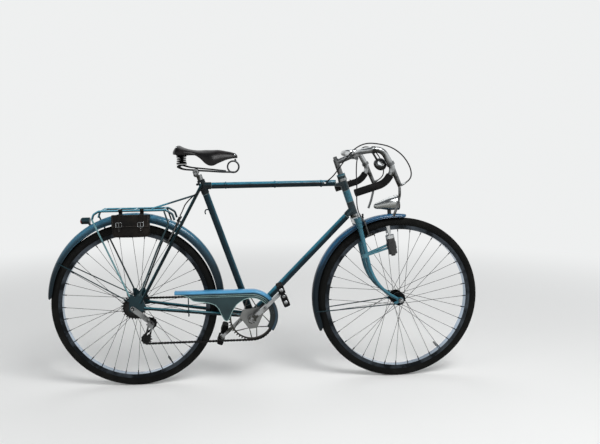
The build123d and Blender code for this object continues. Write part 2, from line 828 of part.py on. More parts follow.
# the blade's corners: along the steering axis, and ahead of it
blade_top_ahead = -2.0
blade_back = (150.0, -22.0)
blade_front = (60.0, 4.0)
blade_radii = [230.0, 195.0]
tip_reach = 18.0
tip_radius = 13.0
tip_half = fork_end_thickness / 2
eyelet_radius = 5.5
guard_stay_low = {"rear": (-12.0, 30.0), "front": (-24.0, -14.0)}
with BuildPart() as fork:
    rod(along_head(crown_arch), along_head(steerer_top), steerer_radius)
    rod(
        along_head(head_tube_high + upper_cup_height + headset_gap),
        along_head(steerer_top),
        cup_radius - 1,
    )
    rod(along_head(crown_high), along_head(head_tube_low - cup_height - headset_gap), cup_radius - 1)
    with BuildSketch(Plane(origin=along_head(crown_arch), x_dir=(0, 1, 0), z_dir=head_up)) as crown:
        SlotCenterToCenter(2 * blade_y, 2 * crown_half_depth)
    extrude(crown.sketch, amount=crown_high - crown_arch)
    # bolt that carries the mudguard
    rod(along_head(crown_arch), along_head(guard_on_head + seat_gap), cup_radius / 3)
    for side in (-1, 1):
        tip_y = side * fork_tip_y["front"]
        rod(
            along_head(crown_low, blade_top_ahead, side * blade_y),
            along_head(crown_arch, blade_top_ahead / 2, side * blade_y),
            blade_top_radius + sleeve_wall,
        )
        blade_foot = along_head(blade_front[0], blade_front[1], tip_y)
        tip_run = (blade_foot - from_front(0, tip_y, 0)).normalized()
        bent_taper(
            [
                along_head(crown_low + sleeve_wall, blade_top_ahead, side * blade_y),
                along_head(blade_back[0], blade_back[1], side * (blade_y + fork_tip_y["front"]) / 2),
                blade_foot,
                from_front(0, tip_y, 0) + tip_run * tip_reach,
            ],
            blade_radii,
            blade_top_radius,
            blade_tip_radius,
        )
        with BuildSketch(Plane(origin=from_front(0, tip_y, 0), x_dir=tip_run, z_dir=(0, 1, 0))) as tip:
            Circle(tip_radius)
            Rectangle(tip_reach + 4, 2 * blade_tip_radius, align=(Align.MIN, Align.CENTER))
        extrude(tip.sketch, amount=tip_half, both=True)
        eyelet = Vector(guard_stay_low["front"][0], guard_stay_low["front"][1])
        with BuildSketch(side_plane(tip_y)) as lug:
            with Locations(Location((front_x, axle_z), degrees(atan2(eyelet.Y, eyelet.X)))):
                Rectangle(eyelet.length, 2 * eyelet_radius, align=(Align.MIN, Align.CENTER))
            with Locations((front_x + eyelet.X, axle_z + eyelet.Y)):
                Circle(eyelet_radius)
        extrude(lug.sketch, amount=tip_half, both=True)
    rod(
        from_front(0, -axle_reach["front"], 0),
        from_front(0, axle_reach["front"], 0),
        axle_radius + 0.1,
        mode=Mode.SUBTRACT,
    )
finish(fork, "fork")

# ================= Stem, bar, grips, levers =================
stem_radius = 11.2
quill_top_along = 655.0
bar_clamp_ahead = 76.0
bar_clamp_along = 648.0
bar_radius = 12.0
bar_clamp_radius = 16.5
bar_clamp_half_width = 20.0
bar_half_width = 200.0
bar_fit = 0.3

bar_centre = along_head(bar_clamp_along, bar_clamp_ahead)
# the bar's corners from its clamp: forward and up, on one side
bar_rise = (-11.0, 14.0)
bar_front_top = (68.0, 20.0)
bar_front = (115.0, -60.0)
bar_low = (79.0, -113.0)
bar_end = (-33.0, -147.0)
bar_corner_radii = [45.0, 44.0, 36.0, 70.0]
grip_radius = 15.0
grip_before_bend = 38.0       # grip's start before the last corner
grip_cap = 4.0


def on_bar(x, side, z):
    # a place measured from the middle of the bar's clamp
    return bar_centre + Vector(x, side, z)


def bar_corners(side):
    last = [bar_rise, bar_front_top, bar_front, bar_low, bar_end]
    return [bar_centre] + [on_bar(x, side * bar_half_width, z) for x, z in last]


with BuildPart() as handlebar:
    for side in (-1, 1):
        bent_rod(bar_corners(side), bar_corner_radii, bar_radius)
finish(handlebar, "handlebar")

with BuildPart() as stem:
    rod(along_head(steerer_top), along_head(quill_top_along), stem_radius)
    rod(along_head(quill_top_along - stem_radius), bar_centre, stem_radius)
    with BuildSketch(side_plane(0)) as clamp:
        with Locations((bar_centre.X, bar_centre.Z)):
            Circle(bar_clamp_radius)
    extrude(clamp.sketch, amount=bar_clamp_half_width, both=True)
    clamp_bolt = on_bar(bar_clamp_radius - 2, 0, -bar_clamp_radius + 2)
    rod(clamp_bolt - Vector(0, 14, 0), clamp_bolt + Vector(0, 14, 0), 5)
    with BuildSketch(side_plane(0)) as clamp_bore:
        with Locations((bar_centre.X, bar_centre.Z)):
            Circle(bar_radius + bar_fit)
    extrude(clamp_bore.sketch, amount=bar_clamp_half_width + bore_overrun, both=True, mode=Mode.SUBTRACT)
    add(handlebar.part, mode=Mode.SUBTRACT)
finish(stem, "stem")

lever_clamp_radius = 15.5
lever_clamp_width = 12.0
lever_body_radius = 10.5
lever_hood = (141.0, -125.0)
# the blade's middle line from the hood, forward and up from the bar's clamp
lever_blade = [(139.0, -128.0), (140.0, -160.0), (130.0, -205.0), (117.0, -242.0)]
lever_blade_radii = [90.0, 160.0]
for hand in ("right", "left"):
    side = side_sign[hand]
    low_corner, bar_tip = bar_corners(side)[-2:]
    front_corner = bar_corners(side)[-3]
    drop_run = (low_corner - front_corner).normalized()
    grip_run = (bar_tip - low_corner).normalized()
    with BuildPart() as grip:
        bent_rod(
            [low_corner - drop_run * grip_before_bend, low_corner, bar_tip + grip_run * grip_cap],
            [bar_corner_radii[-1]],
            grip_radius,
        )
        add(handlebar.part, mode=Mode.SUBTRACT)
    finish(grip, f"{hand}_grip")

    with BuildPart() as lever:
        clamp_place = front_corner - (bar_corners(side)[-3] - bar_corners(side)[-4]).normalized() * 26
        clamp_run = (front_corner - bar_corners(side)[-4]).normalized()
        rod(
            clamp_place - clamp_run * lever_clamp_width / 2,
            clamp_place + clamp_run * lever_clamp_width / 2,
            lever_clamp_radius,
        )
        hood = on_bar(lever_hood[0], side * bar_half_width, lever_hood[1])
        taper(clamp_place, hood, lever_body_radius, lever_body_radius - 2)
        bent_rod(
            [on_bar(x, side * bar_half_width, z) for x, z in lever_blade],
            lever_blade_radii,
            lever_body_radius / 2,
        )
        add(handlebar.part, mode=Mode.SUBTRACT)
    finish(lever, f"{hand}_brake_lever")

# ================= Mudguards =================
for end, (centre, radius, start_angle, end_angle) in mudguards.items():
    radial = Vector(cos(radians(start_angle)), 0, sin(radians(start_angle)))
    guard_plane = Plane(origin=centre, x_dir=(0, 1, 0), z_dir=(radial.Z, 0, -radial.X))
    with BuildPart() as mudguard:
        with BuildSketch(guard_plane):
            with BuildLine():
                outer = ThreePointArc(
                    (-mudguard_half_width, radius - mudguard_crown),
                    (0, radius),
                    (mudguard_half_width, radius - mudguard_crown),
                )
                Line(outer @ 1, outer @ 1 - Vector(mudguard_thickness, 0))
                inner = ThreePointArc(
                    outer @ 1 - Vector(mudguard_thickness, 0),
                    (0, radius - mudguard_thickness),
                    outer @ 0 + Vector(mudguard_thickness, 0),
                )
                Line(inner @ 1, outer @ 0)
            make_face()
        revolve(axis=Axis(centre, (0, 1, 0)), revolution_arc=start_angle - end_angle)
        if end == "rear":
            add(seat_tube.part, mode=Mode.SUBTRACT)
            add(chainstays.part, mode=Mode.SUBTRACT)
            add(seatstays.part, mode=Mode.SUBTRACT)
    finish(mudguard, f"{end}_mudguard")

stay_wire_radius = 2.4
stay_over_edge = 2.0          # wire's end above the mudguard's edge
mudguard_stays = {
    # angle on the mudguard, and the low end beside its eyelet
    "rear": (
        152.0,
        from_rear(
            guard_stay_low["rear"][0],
            stay_end_y + tip_half + seat_gap + stay_wire_radius,
            guard_stay_low["rear"][1],
        ),
    ),
    "front": (
        190.0,
        from_front(
            guard_stay_low["front"][0],
            fork_tip_y["front"] + tip_half + seat_gap + stay_wire_radius,
            guard_stay_low["front"][1],
        ),
    ),
}
for end, (angle, low) in mudguard_stays.items():
    centre, radius = mudguards[end][:2]
    edge_radius = radius - mudguard_crown + stay_over_edge
    high = centre + Vector(edge_radius * cos(radians(angle)), 0, edge_radius * sin(radians(angle)))
    high_y = mudguard_half_width + stay_wire_radius + seat_gap
    with BuildPart() as wire:
        for side in (-1, 1):
            rod(high + Vector(0, side * high_y, 0), (low.X, side * low.Y, low.Z), stay_wire_radius)
    finish(wire, f"{end}_mudguard_stays")

# ================= Carrier, bag, rear lamp =================
carrier_half_width = 60.0
rail_radius = 4.5
cross_bar_radius = 3.5
rail_z = 408.0
rail_corners = [(-149, 372), (-142, 395), (-120, 408), (150, 408), (176, 392), (184, 366)]
strut_y = 33.0
strut_radius = 2.6
strut_end = seatstay_root[1] + (seatstay_tip[1] - seatstay_root[1]) * 0.09
with BuildPart() as carrier:
    for side in (-1, 1):
        bent_rod(
            [from_rear(x, side * carrier_half_width, z) for x, z in rail_corners],
            [16.0, 16.0, 16.0, 16.0],
            rail_radius,
        )
        # strut from the front of the carrier to the seat stay
        rod(
            from_rear(90, side * strut_y, rail_z + cross_bar_radius),
            (
                strut_end.X,
                side * (strut_end.Y + seatstay_root_radius + seat_gap + strut_radius),
                strut_end.Z,
            ),
            strut_radius,
        )
    for x in (-110, -50, 20, 90, 140):
        rod(
            from_rear(x, -carrier_half_width, rail_z),
            from_rear(x, carrier_half_width, rail_z),
            cross_bar_radius,
        )
finish(carrier, "carrier")

leg_radius = 3.5
leg_top_y = carrier_half_width + rail_radius + seat_gap + leg_radius
leg_low_y = stay_end_y + tip_half + seat_gap + leg_radius
with BuildPart() as carrier_legs:
    for side in (-1, 1):
        bent_rod(
            [
                from_rear(144, side * leg_top_y, 404),
                from_rear(160, side * leg_top_y, 352),
                from_rear(111, side * leg_top_y, 249),
                from_rear(30, side * leg_low_y, 54),
            ],
            [20.0, 60.0],
            leg_radius,
        )
        rod(from_rear(-147, side * leg_top_y, 376), from_rear(-11, side * leg_low_y, 54), leg_radius)
finish(carrier_legs, "carrier_legs")

bag_size = (152.0, 38.0, 91.0)
bag_low = from_rear(-64, -carrier_half_width - 44, 302)
loop_places = (-34.0, 52.0)
loop_outer_radius = 7.5
loop_width = 16.0
with BuildPart() as tool_bag:
    with BuildSketch(Plane.XY.offset(bag_low.Z)):
        with Locations((bag_low.X, bag_low.Y)):
            RectangleRounded(bag_size[0], bag_size[1], 12, align=(Align.MIN, Align.MIN))
    extrude(amount=bag_size[2])
    # leather loops that hang it on the carrier's rail
    for x in loop_places:
        loop_centre = from_rear(x, -carrier_half_width, rail_z)
        half_loop = Vector(loop_width / 2, 0, 0)
        rod(loop_centre - half_loop, loop_centre + half_loop, loop_outer_radius)
        with Locations(loop_centre + Vector(0, -loop_outer_radius, -loop_outer_radius)):
            Box(loop_width, loop_outer_radius, 3 * loop_outer_radius)
        rod(
            loop_centre - half_loop * 2,
            loop_centre + half_loop * 2,
            rail_radius + seat_gap,
            mode=Mode.SUBTRACT,
        )
finish(tool_bag, "tool_bag")

rear_lamp_radius = 14.0
lamp_angle = radians(120)
guard_centre = mudguards["rear"][0]
rear_lamp_seat = guard_centre + Vector(cos(lamp_angle), 0, sin(lamp_angle)) * rear_guard_radius
lamp_centre = rear_lamp_seat + Vector(-6, 0, rear_lamp_radius + 6)
with BuildPart() as rear_lamp:
    rod(lamp_centre + Vector(10, 0, 0), lamp_centre - Vector(20, 0, 0), rear_lamp_radius)
    rod(lamp_centre - Vector(20, 0, 0), lamp_centre - Vector(24, 0, 0), rear_lamp_radius - 2)
    spacer(lamp_centre, "rear", 5)
finish(rear_lamp, "rear_lamp")

# ================= Seat =================
with BuildPart() as seat_post:
    rod(
        along_seat(seat_tube_length + seat_lug_rise - seat_post_insert),
        along_seat(post_high_along),
        seat_post_radius,
    )
finish(seat_post, "seat_post")

saddle_sections = [
    # ahead of the sitting point, half width, top, underside
    (-112, 84, -2, -20),
    (-92, 103, 19, -20),
    (-60, 108, 8, -20),
    (-20, 98, 1, -22),
    (12, 80, 0, -50),
    (40, 60, -1, -66),
    (70, 44, -1, -54),
    (104, 31, -7, -40),
    (134, 23, -14, -36),
    (149, 15, -24, -36),
]
saddle_shoulder = 0.45        # skirt's top edge, as a share of the depth
with BuildPart() as saddle_cover:
    saddle_faces = []
    for x, half_width, top, low in saddle_sections:
        depth = top - low
        with BuildSketch(Plane(origin=(x, 0, top), x_dir=(0, 1, 0), z_dir=(1, 0, 0))) as saddle_face:
            with BuildLine():
                crown_arc = ThreePointArc(
                    (-half_width, -depth * saddle_shoulder),
                    (0, 0),
                    (half_width, -depth * saddle_shoulder),
                )
                Polyline(crown_arc @ 1, (half_width, -depth), (-half_width, -depth), crown_arc @ 0)
            make_face()
        saddle_faces.append(saddle_face.sketch)
    loft(saddle_faces, ruled=True)
finish(saddle_cover, "saddle_cover")

rail_wire_radius = 3.5
spring_x = -83.0
spring_y = 60.0
spring_low = -57.0
spring_high = -20.0 - seat_gap
spring_turns = 4
spring_wire_radius = 3.2
spring_core_radius = 13.5
nose_underside = -36.0 - seat_gap
# the rail's corners: ahead of the sitting point, from the middle, up
rail_route = [
    (spring_x, spring_y, spring_low - seat_gap - rail_wire_radius),
    (-97.0, 36.0, -74.0),
    (-30.0, 22.0, -84.0),
    (100.0, 18.0, -97.0),
    (158.0, 16.0, -100.0),
    (156.0, 14.0, -50.0),
    (134.0, 12.0, nose_underside - rail_wire_radius),
]
rail_bends = [12.0, 20.0, 200.0, 22.0, 12.0]
post_top = along_seat(post_high_along)
rail_clamp_half_width = 33.0
rail_clamp_radius = 9.0
with BuildPart() as saddle_rails:
    for side in (-1, 1):
        bent_rod([Vector(x, side * y, z) for x, y, z in rail_route], rail_bends, rail_wire_radius)
        # seat of the coil spring
        rod(
            (spring_x, side * spring_y, spring_low - seat_gap - rail_wire_radius),
            (spring_x, side * spring_y, spring_low - seat_gap),
            spring_core_radius,
        )
    # bar across the back, between the two springs
    rod(
        (spring_x, -spring_y, spring_low - seat_gap - rail_wire_radius),
        (spring_x, spring_y, spring_low - seat_gap - rail_wire_radius),
        rail_wire_radius,
    )
    # wires meet under the nose
    nose_foot = rail_route[-1]
    rod(
        (nose_foot[0], -nose_foot[1], nose_foot[2]),
        nose_foot,
        rail_wire_radius,
    )
    rod(
        post_top - Vector(0, rail_clamp_half_width, 0),
        post_top + Vector(0, rail_clamp_half_width, 0),
        rail_clamp_radius,
    )
    for side in (-1, 1):
        clamp_cheek = post_top + Vector(0, side * 23, 0)
        rod(clamp_cheek, clamp_cheek + Vector(0, side * 8, 0), 2 * rail_clamp_radius)
    add(seat_post.part, mode=Mode.SUBTRACT)
finish(saddle_rails, "saddle_rails")

with BuildPart() as saddle_springs:
    spring_pitch = (spring_high - spring_low - 2 * spring_wire_radius) / spring_turns
    for side in (-1, 1):
        rod((spring_x, side * spring_y, spring_low), (spring_x, side * spring_y, spring_high), spring_core_radius)
        for turn in range(spring_turns + 1):
            ring_z = spring_low + spring_wire_radius + turn * spring_pitch
            with Locations((spring_x, side * spring_y, ring_z)):
                Torus(spring_core_radius + spring_wire_radius / 2, spring_wire_radius)
finish(saddle_springs, "saddle_springs")

# ================= Chain guard and gear =================
guard_y = 60.0
guard_thickness = 1.5
guard_flange_inner_y = 34.0
guard_arc_centre = Vector(crank_x - 2, crank_z + 9)
guard_arc_radius = 114.0
guard_inner_arc = 83.0
guard_nose_angle = -35.0
guard_line_z = guard_arc_centre.Y + guard_arc_radius
guard_rear_x = rear_x + 173.0
nose = radians(guard_nose_angle)
nose_run = Vector(cos(nose), sin(nose))
guard_band_along = 133.0      # bracket on the seat tube, from the crank axle
guard_band_radius = 17.0
guard_band_height = 12.0
guard_arm_radius = 4.5
guard_clip_x = rear_x + 230.0
guard_clip_radius = 5.0
guard_strap_width = 14.0
with BuildPart() as chain_guard:
    with BuildSketch(side_plane(-guard_y)) as web:
        with BuildLine():
            top_line = Line((guard_rear_x, guard_line_z), (guard_arc_centre.X, guard_line_z))
            front_arc = CenterArc(guard_arc_centre, guard_arc_radius, 90, guard_nose_angle - 90)
            Line(front_arc @ 1, guard_arc_centre + nose_run * guard_inner_arc)
            inner_arc = CenterArc(guard_arc_centre, guard_inner_arc, guard_nose_angle, 150 - guard_nose_angle)
            Polyline(
                inner_arc @ 1,
                (crank_x - 81, crank_z + 37),
                (crank_x - 90, crank_z + 15),
                (crank_x - 103, crank_z - 8),
                (crank_x - 126, crank_z + 13),
                (crank_x - 134, crank_z + 39),
                (crank_x - 160, crank_z + 66),
                (crank_x - 241, crank_z + 80),
                top_line @ 0,
            )
        make_face()
    extrude(web.sketch, amount=guard_thickness)
    with BuildSketch(side_plane(-guard_flange_inner_y)) as flange:
        with BuildLine():
            Line((guard_rear_x, guard_line_z), (guard_arc_centre.X, guard_line_z))
            outer_arc = CenterArc(guard_arc_centre, guard_arc_radius, 90, guard_nose_angle - 90)
            Line(outer_arc @ 1, guard_arc_centre + nose_run * (guard_arc_radius - guard_thickness))
            under_arc = CenterArc(
                guard_arc_centre,
                guard_arc_radius - guard_thickness,
                guard_nose_angle,
                90 - guard_nose_angle,
            )
            Polyline(
                under_arc @ 1,
                (guard_rear_x, guard_line_z - guard_thickness),
                (guard_rear_x, guard_line_z),
            )
        make_face()
    extrude(flange.sketch, amount=guard_y - guard_flange_inner_y + guard_thickness)
    # bracket round the seat tube, with its arm under the flange
    band_low = along_seat(guard_band_along - guard_band_height / 2)
    band_high = along_seat(guard_band_along + guard_band_height / 2)
    rod(band_low, band_high, guard_band_radius)
    arm_z = guard_line_z - guard_arm_radius
    rod(
        (along_seat(guard_band_along).X, -main_tube_radius, arm_z),
        (along_seat(guard_band_along).X, -guard_y, arm_z),
        guard_arm_radius,
    )
    rod(band_low - seat_up * guard_band_height, band_high + seat_up * guard_band_height,
        main_tube_radius + seat_gap, mode=Mode.SUBTRACT)
    # strap down to a clip on the chain stay
    clip_share = (chainstay_root[-1].X - guard_clip_x) / (chainstay_root[-1].X - chainstay_tip[-1].X)
    clip_seat = chainstay_root[-1] + (chainstay_tip[-1] - chainstay_root[-1]) * clip_share
    clip_low_y = clip_seat.Y - chainstay_root_radius - seat_gap
    with BuildSketch(side_plane(-guard_y + 4)) as strap:
        with Locations((guard_clip_x, (clip_seat.Z + guard_line_z) / 2)):
            Rectangle(guard_strap_width, guard_line_z - clip_seat.Z - guard_thickness)
    extrude(strap.sketch, amount=4 + guard_thickness)
    rod((guard_clip_x, -guard_y, clip_seat.Z), (guard_clip_x, clip_low_y, clip_seat.Z), guard_clip_radius)
finish(chain_guard, "chain_guard")

pulley_thickness = 1.8
pulley_tooth_height = 1.6
with BuildPart() as derailleur_pulleys:
    for centre in (guide_pulley, tension_pulley):
        toothed_ring(
            pulley_teeth,
            phase_on(centre),
            Plane(origin=(centre[0], -chain_line, centre[1]), x_dir=(1, 0, 0), z_dir=(0, -1, 0)),
            pulley_thickness,
            pulley_tooth_height,
        )
finish(derailleur_pulleys, "derailleur_pulleys")

cage_y = chain_line + 7.0
cage_width = 24.0
cage_thickness = 2.0
pivot_radius = 14.0
pivot_reach = 22.0
pulley_pin_radius = 3.4
with BuildPart() as derailleur:
    cage_centre = ((guide_pulley[0] + tension_pulley[0]) / 2, (guide_pulley[1] + tension_pulley[1]) / 2)
    with BuildSketch(side_plane(-cage_y)) as cage:
        with Locations(Location(cage_centre, cage_angle)):
            SlotCenterToCenter(cage_length, cage_width)
            SlotCenterToCenter(cage_length / 2, cage_width / 3, mode=Mode.SUBTRACT)
    extrude(cage.sketch, amount=cage_thickness)
    rod(
        (guide_pulley[0], -cage_y, guide_pulley[1]),
        (guide_pulley[0], -cage_y - pivot_reach, guide_pulley[1]),
        pivot_radius,
    )
    rod(
        (guide_pulley[0], -cage_y - pivot_radius, guide_pulley[1]),
        from_rear(60, -cage_y - pivot_radius, -44),
        pivot_radius / 2,
    )
    with BuildSketch(side_plane(-stay_end_y - tip_half)) as hanger:
        with Locations(Location((rear_x + 29, axle_z - 24), -40)):
            SlotCenterToCenter(74, 22)
        with Locations((rear_x, axle_z)):
            Circle(axle_radius + 0.1, mode=Mode.SUBTRACT)
    extrude(hanger.sketch, amount=hanger_thickness)
    for centre in (guide_pulley, tension_pulley):
        rod((centre[0], -cage_y, centre[1]), (centre[0], -chain_line + 6, centre[1]), pulley_pin_radius)
        rod(
            (centre[0], -cage_y, centre[1]),
            (centre[0], -cage_y - 2 * cage_thickness, centre[1]),
            2 * pulley_pin_radius,
        )
    add(derailleur_pulleys.part, mode=Mode.SUBTRACT)
finish(derailleur, "derailleur")

# ================= Brakes =================
brake_arm_radius = 4.5
brake_arm_y = 34.0
brake_pad_length = 30.0
brake_pad_height = 10.0
brake_pad_gap = 3.0
brake_bolt_radius = 4.0
brake_bolt_reach = 20.0
stay_down = (seatstay_tip[1] - seatstay_root[1]).cross(Vector(0, 1, 0))
stay_down = stay_down.cross(Vector(0, -1, 0)).normalized()
stay_behind = Vector(-abs(stay_down.Z), 0, -stay_down.X)
rim_mid_radius = (rim_outer_radius + rim_inner_radius) / 2
brakes = {
    # bolt's root, outward and downward directions, clearance to the bolt's seat, wheel
    "rear": (Vector(brake_bridge.X, 0, brake_bridge.Z), stay_behind, stay_down, bridge_radius, rear_x),
    "front": (along_head(crown_arch + 10), head_ahead, head_up * -1, crown_half_depth, front_x),
}
cable_arm_side = {"rear": 1, "front": -1}
cable_arm_reach = 22.0
cable_arm_rise = 16.0
cable_pin_radius = 4.0
cable_pin_half = 4.0
cable_lead = 26.0
cable_ends = {}
for end, (root, ahead, down, clear, wheel_x) in brakes.items():
    hang = root + ahead * (clear + brake_bolt_reach / 2)
    from_axle = hang - Vector(wheel_x, 0, axle_z)
    fall = -from_axle.dot(down)
    pad_drop = fall - sqrt(fall**2 - from_axle.length**2 + rim_mid_radius**2)
    with BuildPart() as brake:
        rod(root + ahead * clear, root + ahead * (clear + brake_bolt_reach), brake_bolt_radius)
        for side in (-1, 1):
            arm = hang + ahead * (3 + 2 * side)
            elbow = hang + Vector(0, side * brake_arm_y, 0) + down * 14
            foot = hang + Vector(0, side * (brake_arm_y - 2), 0) + down * pad_drop
            rod(arm, elbow, brake_arm_radius)
            rod(elbow, foot, brake_arm_radius)
            # short arm up to the cable's clamp pin
            arm_end = arm + Vector(0, -side * cable_arm_reach, 0) - down * cable_arm_rise
            rod(arm, arm_end, brake_arm_radius - 1)
            rod(arm_end + down * cable_pin_half, arm_end - down * cable_pin_half, cable_pin_radius)
            if side == cable_arm_side[end]:
                cable_end = arm_end - down * (cable_pin_half + seat_gap)
                cable_ends[end] = [cable_end - down * cable_lead, cable_end]
            with BuildSketch(Plane(origin=foot + ahead * 8, x_dir=ahead, z_dir=(0, side, 0))) as pad:
                Rectangle(brake_pad_length, brake_pad_height)
            extrude(pad.sketch, amount=-(brake_arm_y - 2 - rim_half_width - brake_pad_gap))
    finish(brake, f"{end}_brake")

# ================= Lamp, dynamo, bell =================
lamp_tail = from_front(-106, 0, 400)
lamp_front = from_front(-2, 0, 416)
lamp_run = (lamp_front - lamp_tail).normalized()
lamp_length = (lamp_front - lamp_tail).length
lamp_radius = 30.0
lamp_wall = 2.0
lens_depth = 6.0
lens_gap = 0.2
lamp_foot = from_front(-40, 0, 400)
lamp_foot_radius = 8.0
foot_centre, foot_guard_radius = mudguards["front"][:2]
foot_seat = foot_centre + (lamp_foot - foot_centre).normalized() * (foot_guard_radius + seat_gap)
lens_radius = lamp_radius - lamp_wall - lens_gap
with BuildPart() as headlamp:
    with BuildSketch(Plane(origin=lamp_tail, x_dir=lamp_run, z_dir=(0, 1, 0))) as lamp_section:
        with BuildLine():
            lamp_side = Spline(
                (0, 4),
                (0.2 * lamp_length, 0.5 * lamp_radius),
                (0.55 * lamp_length, 0.86 * lamp_radius),
                (0.88 * lamp_length, lamp_radius),
                tangents=((0.3, 1), (1, 0.02)),
            )
            Polyline(
                lamp_side @ 1,
                (0.88 * lamp_length, lamp_radius + lamp_wall),
                (lamp_length, lamp_radius + lamp_wall),
                (lamp_length, lamp_radius - lamp_wall),
                (lamp_length - lens_depth, lamp_radius - lamp_wall),
                (lamp_length - lens_depth, 0),
                (0, 0),
                (0, 4),
            )
        make_face()
    revolve(lamp_section.sketch, axis=Axis(lamp_tail, lamp_run))
    rod(lamp_foot, foot_seat, lamp_foot_radius)
finish(headlamp, "headlamp")

with BuildPart() as headlamp_lens:
    lens_back = lamp_front - lamp_run * (lens_depth - lens_gap)
    rod(lens_back, lens_back + lamp_run * lens_depth, lens_radius)
    fillet(headlamp_lens.edges().sort_by(Axis(lamp_tail, lamp_run))[-1], lens_depth / 2)
finish(headlamp_lens, "headlamp_lens")

dynamo_y = -57.0
dynamo_radius = 18.0
dynamo_top = from_front(-53, dynamo_y, 283)
dynamo_foot = from_front(-36, dynamo_y, 204)
dynamo_up = (dynamo_top - dynamo_foot).normalized()
roller_neck = 10.0
roller_length = 30.0
dynamo_clamp_along = 235.0
dynamo_clamp_ahead = -20.0
dynamo_clamp_radius = 13.5
with BuildPart() as dynamo:
    rod(dynamo_foot, dynamo_top, dynamo_radius)
    rod(dynamo_foot - dynamo_up * 8, dynamo_foot, dynamo_radius / 2)
    rod(dynamo_top, dynamo_top + dynamo_up * (roller_neck + roller_length), dynamo_radius / 3)
    rod(
        dynamo_top + dynamo_up * roller_neck,
        dynamo_top + dynamo_up * (roller_neck + roller_length),
        dynamo_radius / 2,
    )
    # bracket plate between the body and the clamp on the fork blade
    blade_share = (crown_low - dynamo_clamp_along) / crown_low
    clamp_y = -blade_y - (fork_tip_y["front"] - blade_y) * blade_share
    clamp_middle = along_head(dynamo_clamp_along, dynamo_clamp_ahead, clamp_y)
    rod(clamp_middle - head_up * 8, clamp_middle + head_up * 8, dynamo_clamp_radius)
    plate_low = clamp_middle + Vector(0, -dynamo_clamp_radius / 2, 0)
    plate_high = dynamo_foot + dynamo_up * 30
    rod(plate_low, plate_high, 5)
    rod(plate_low + head_up * 6, plate_high + dynamo_up * 14, 5)
    rod(plate_high - dynamo_up * 8, plate_high + dynamo_up * 20, dynamo_radius + 2)
    add(fork.part, mode=Mode.SUBTRACT)
finish(dynamo, "dynamo")

bell_radius = 26.0
bell_depth = 18.0
bell_round = 15.0
bell_base = on_bar(66, -178, -40)
bell_facing = Vector(0.15, -0.85, 0.5).normalized()
bell_clamp_x = 34.0
with BuildPart() as bell:
    with BuildSketch(Plane(origin=bell_base, z_dir=bell_facing)) as dome:
        Circle(bell_radius)
    extrude(dome.sketch, amount=bell_depth)
    dome_rim = bell.edges().filter_by(GeomType.CIRCLE).sort_by(Axis(bell_base, bell_facing))[-1]
    fillet(dome_rim, bell_round)
    bell_clamp = on_bar(bell_clamp_x, -bar_half_width, 17.5)
    rod(bell_base, bell_clamp - Vector(0, -bar_radius / 2, bar_radius), 4)
    rod(bell_clamp - Vector(6, 0, 0), bell_clamp + Vector(6, 0, 0), bar_radius + 2)
    add(handlebar.part, mode=Mode.SUBTRACT)
finish(bell, "bell")

# ================= Cables =================
cable_radius = 2.5
run_share = 0.45              # of its shorter run that an arc takes


def cable_bends(route):
    # every arc is as large as the two runs beside it allow
    radii = []
    for before, corner, after in zip(route, route[1:], route[2:]):
        arrive = corner - before
        leave = after - corner
        turn = radians(arrive.get_angle(leave))
        radii.append(run_share * min(arrive.length, leave.length) / tan(turn / 2))
    return radii


cable_side = -top_tube_radius - cable_radius - seat_gap
stop_x = 508.0
stop_gap = 1.5                # the loop meets the straight run at an angle
stop_share = (top_joint.X - stop_x) / (top_joint.X - seat_cluster.X)
cable_stop = top_joint + (seat_cluster - top_joint) * stop_share + Vector(0, cable_side, 0)
lever_exit = on_bar(lever_hood[0] + lever_body_radius + 1, 0, lever_hood[1] + 8)
# over the bar: forward of the clamp, distance from the middle, up
rear_loop = [
    (178, 200, -104),
    (188, 197, -76),
    (178, 188, -38),
    (153, 170, 2),
    (116, 145, 31),
    (76, 116, 43),
    (36, 88, 48),
    (-2, 62, 32),
    (-36, 41, -8),
    (-68, 25, -58),
    (-98, 17.5, -97),
]
front_loop = [
    (178, 200, -104),
    (188, 197, -76),
    (178, 188, -38),
    (153, 168, 2),
    (116, 140, 31),
    (76, 108, 40),
    (44, 74, 22),
    (26, 46, -20),
    (20, 30, -72),
    (22, 23, -126),
    (21, 22.5, -175),
]
cable_routes = {
    "rear_brake_cable_loop": [lever_exit - Vector(0, bar_half_width, 0)]
    + [on_bar(x, -y, z) for x, y, z in rear_loop]
    + [cable_stop],
    "rear_brake_cable": [
        cable_stop + back_along_top * stop_gap,
        Vector(40, cable_side, seat_cluster.Z + 1),
        Vector(-9, -40, -164),
        Vector(-70, -38, -216),
        *cable_ends["rear"],
    ],
    "front_brake_cable": [lever_exit + Vector(0, bar_half_width, 0)]
    + [on_bar(x, y, z) for x, y, z in front_loop]
    + cable_ends["front"],
}
for name, route in cable_routes.items():
    radii = cable_bends(route)
    with BuildPart() as cable:
        bent_rod(route, radii, cable_radius)
        run = sum((after - before).length for before, after in zip(route, route[1:]))
        drawn = cable.part.volume / (pi * cable_radius**2)
        print(name, "runs", round(run), "volume over section", round(drawn))
        print(name, "bends", [round(radius) for radius in radii])
        if name == "rear_brake_cable":
            # clips round the top tube
            for share in (0.02, 0.45, 0.9):
                clip = top_joint + (seat_cluster - top_joint) * (stop_share + (0.92 - stop_share) * share)
                half_clip = back_along_top * 4
                rod(clip - half_clip, clip + half_clip, top_tube_radius + 1.5)
            add(top_tube.part, mode=Mode.SUBTRACT)
    finish(cable, name)
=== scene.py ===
import json
import bmesh
import bpy
import numpy as np
from math import acos, atan2, cos, hypot, pi, radians, sin
from mathutils import Matrix, Vector


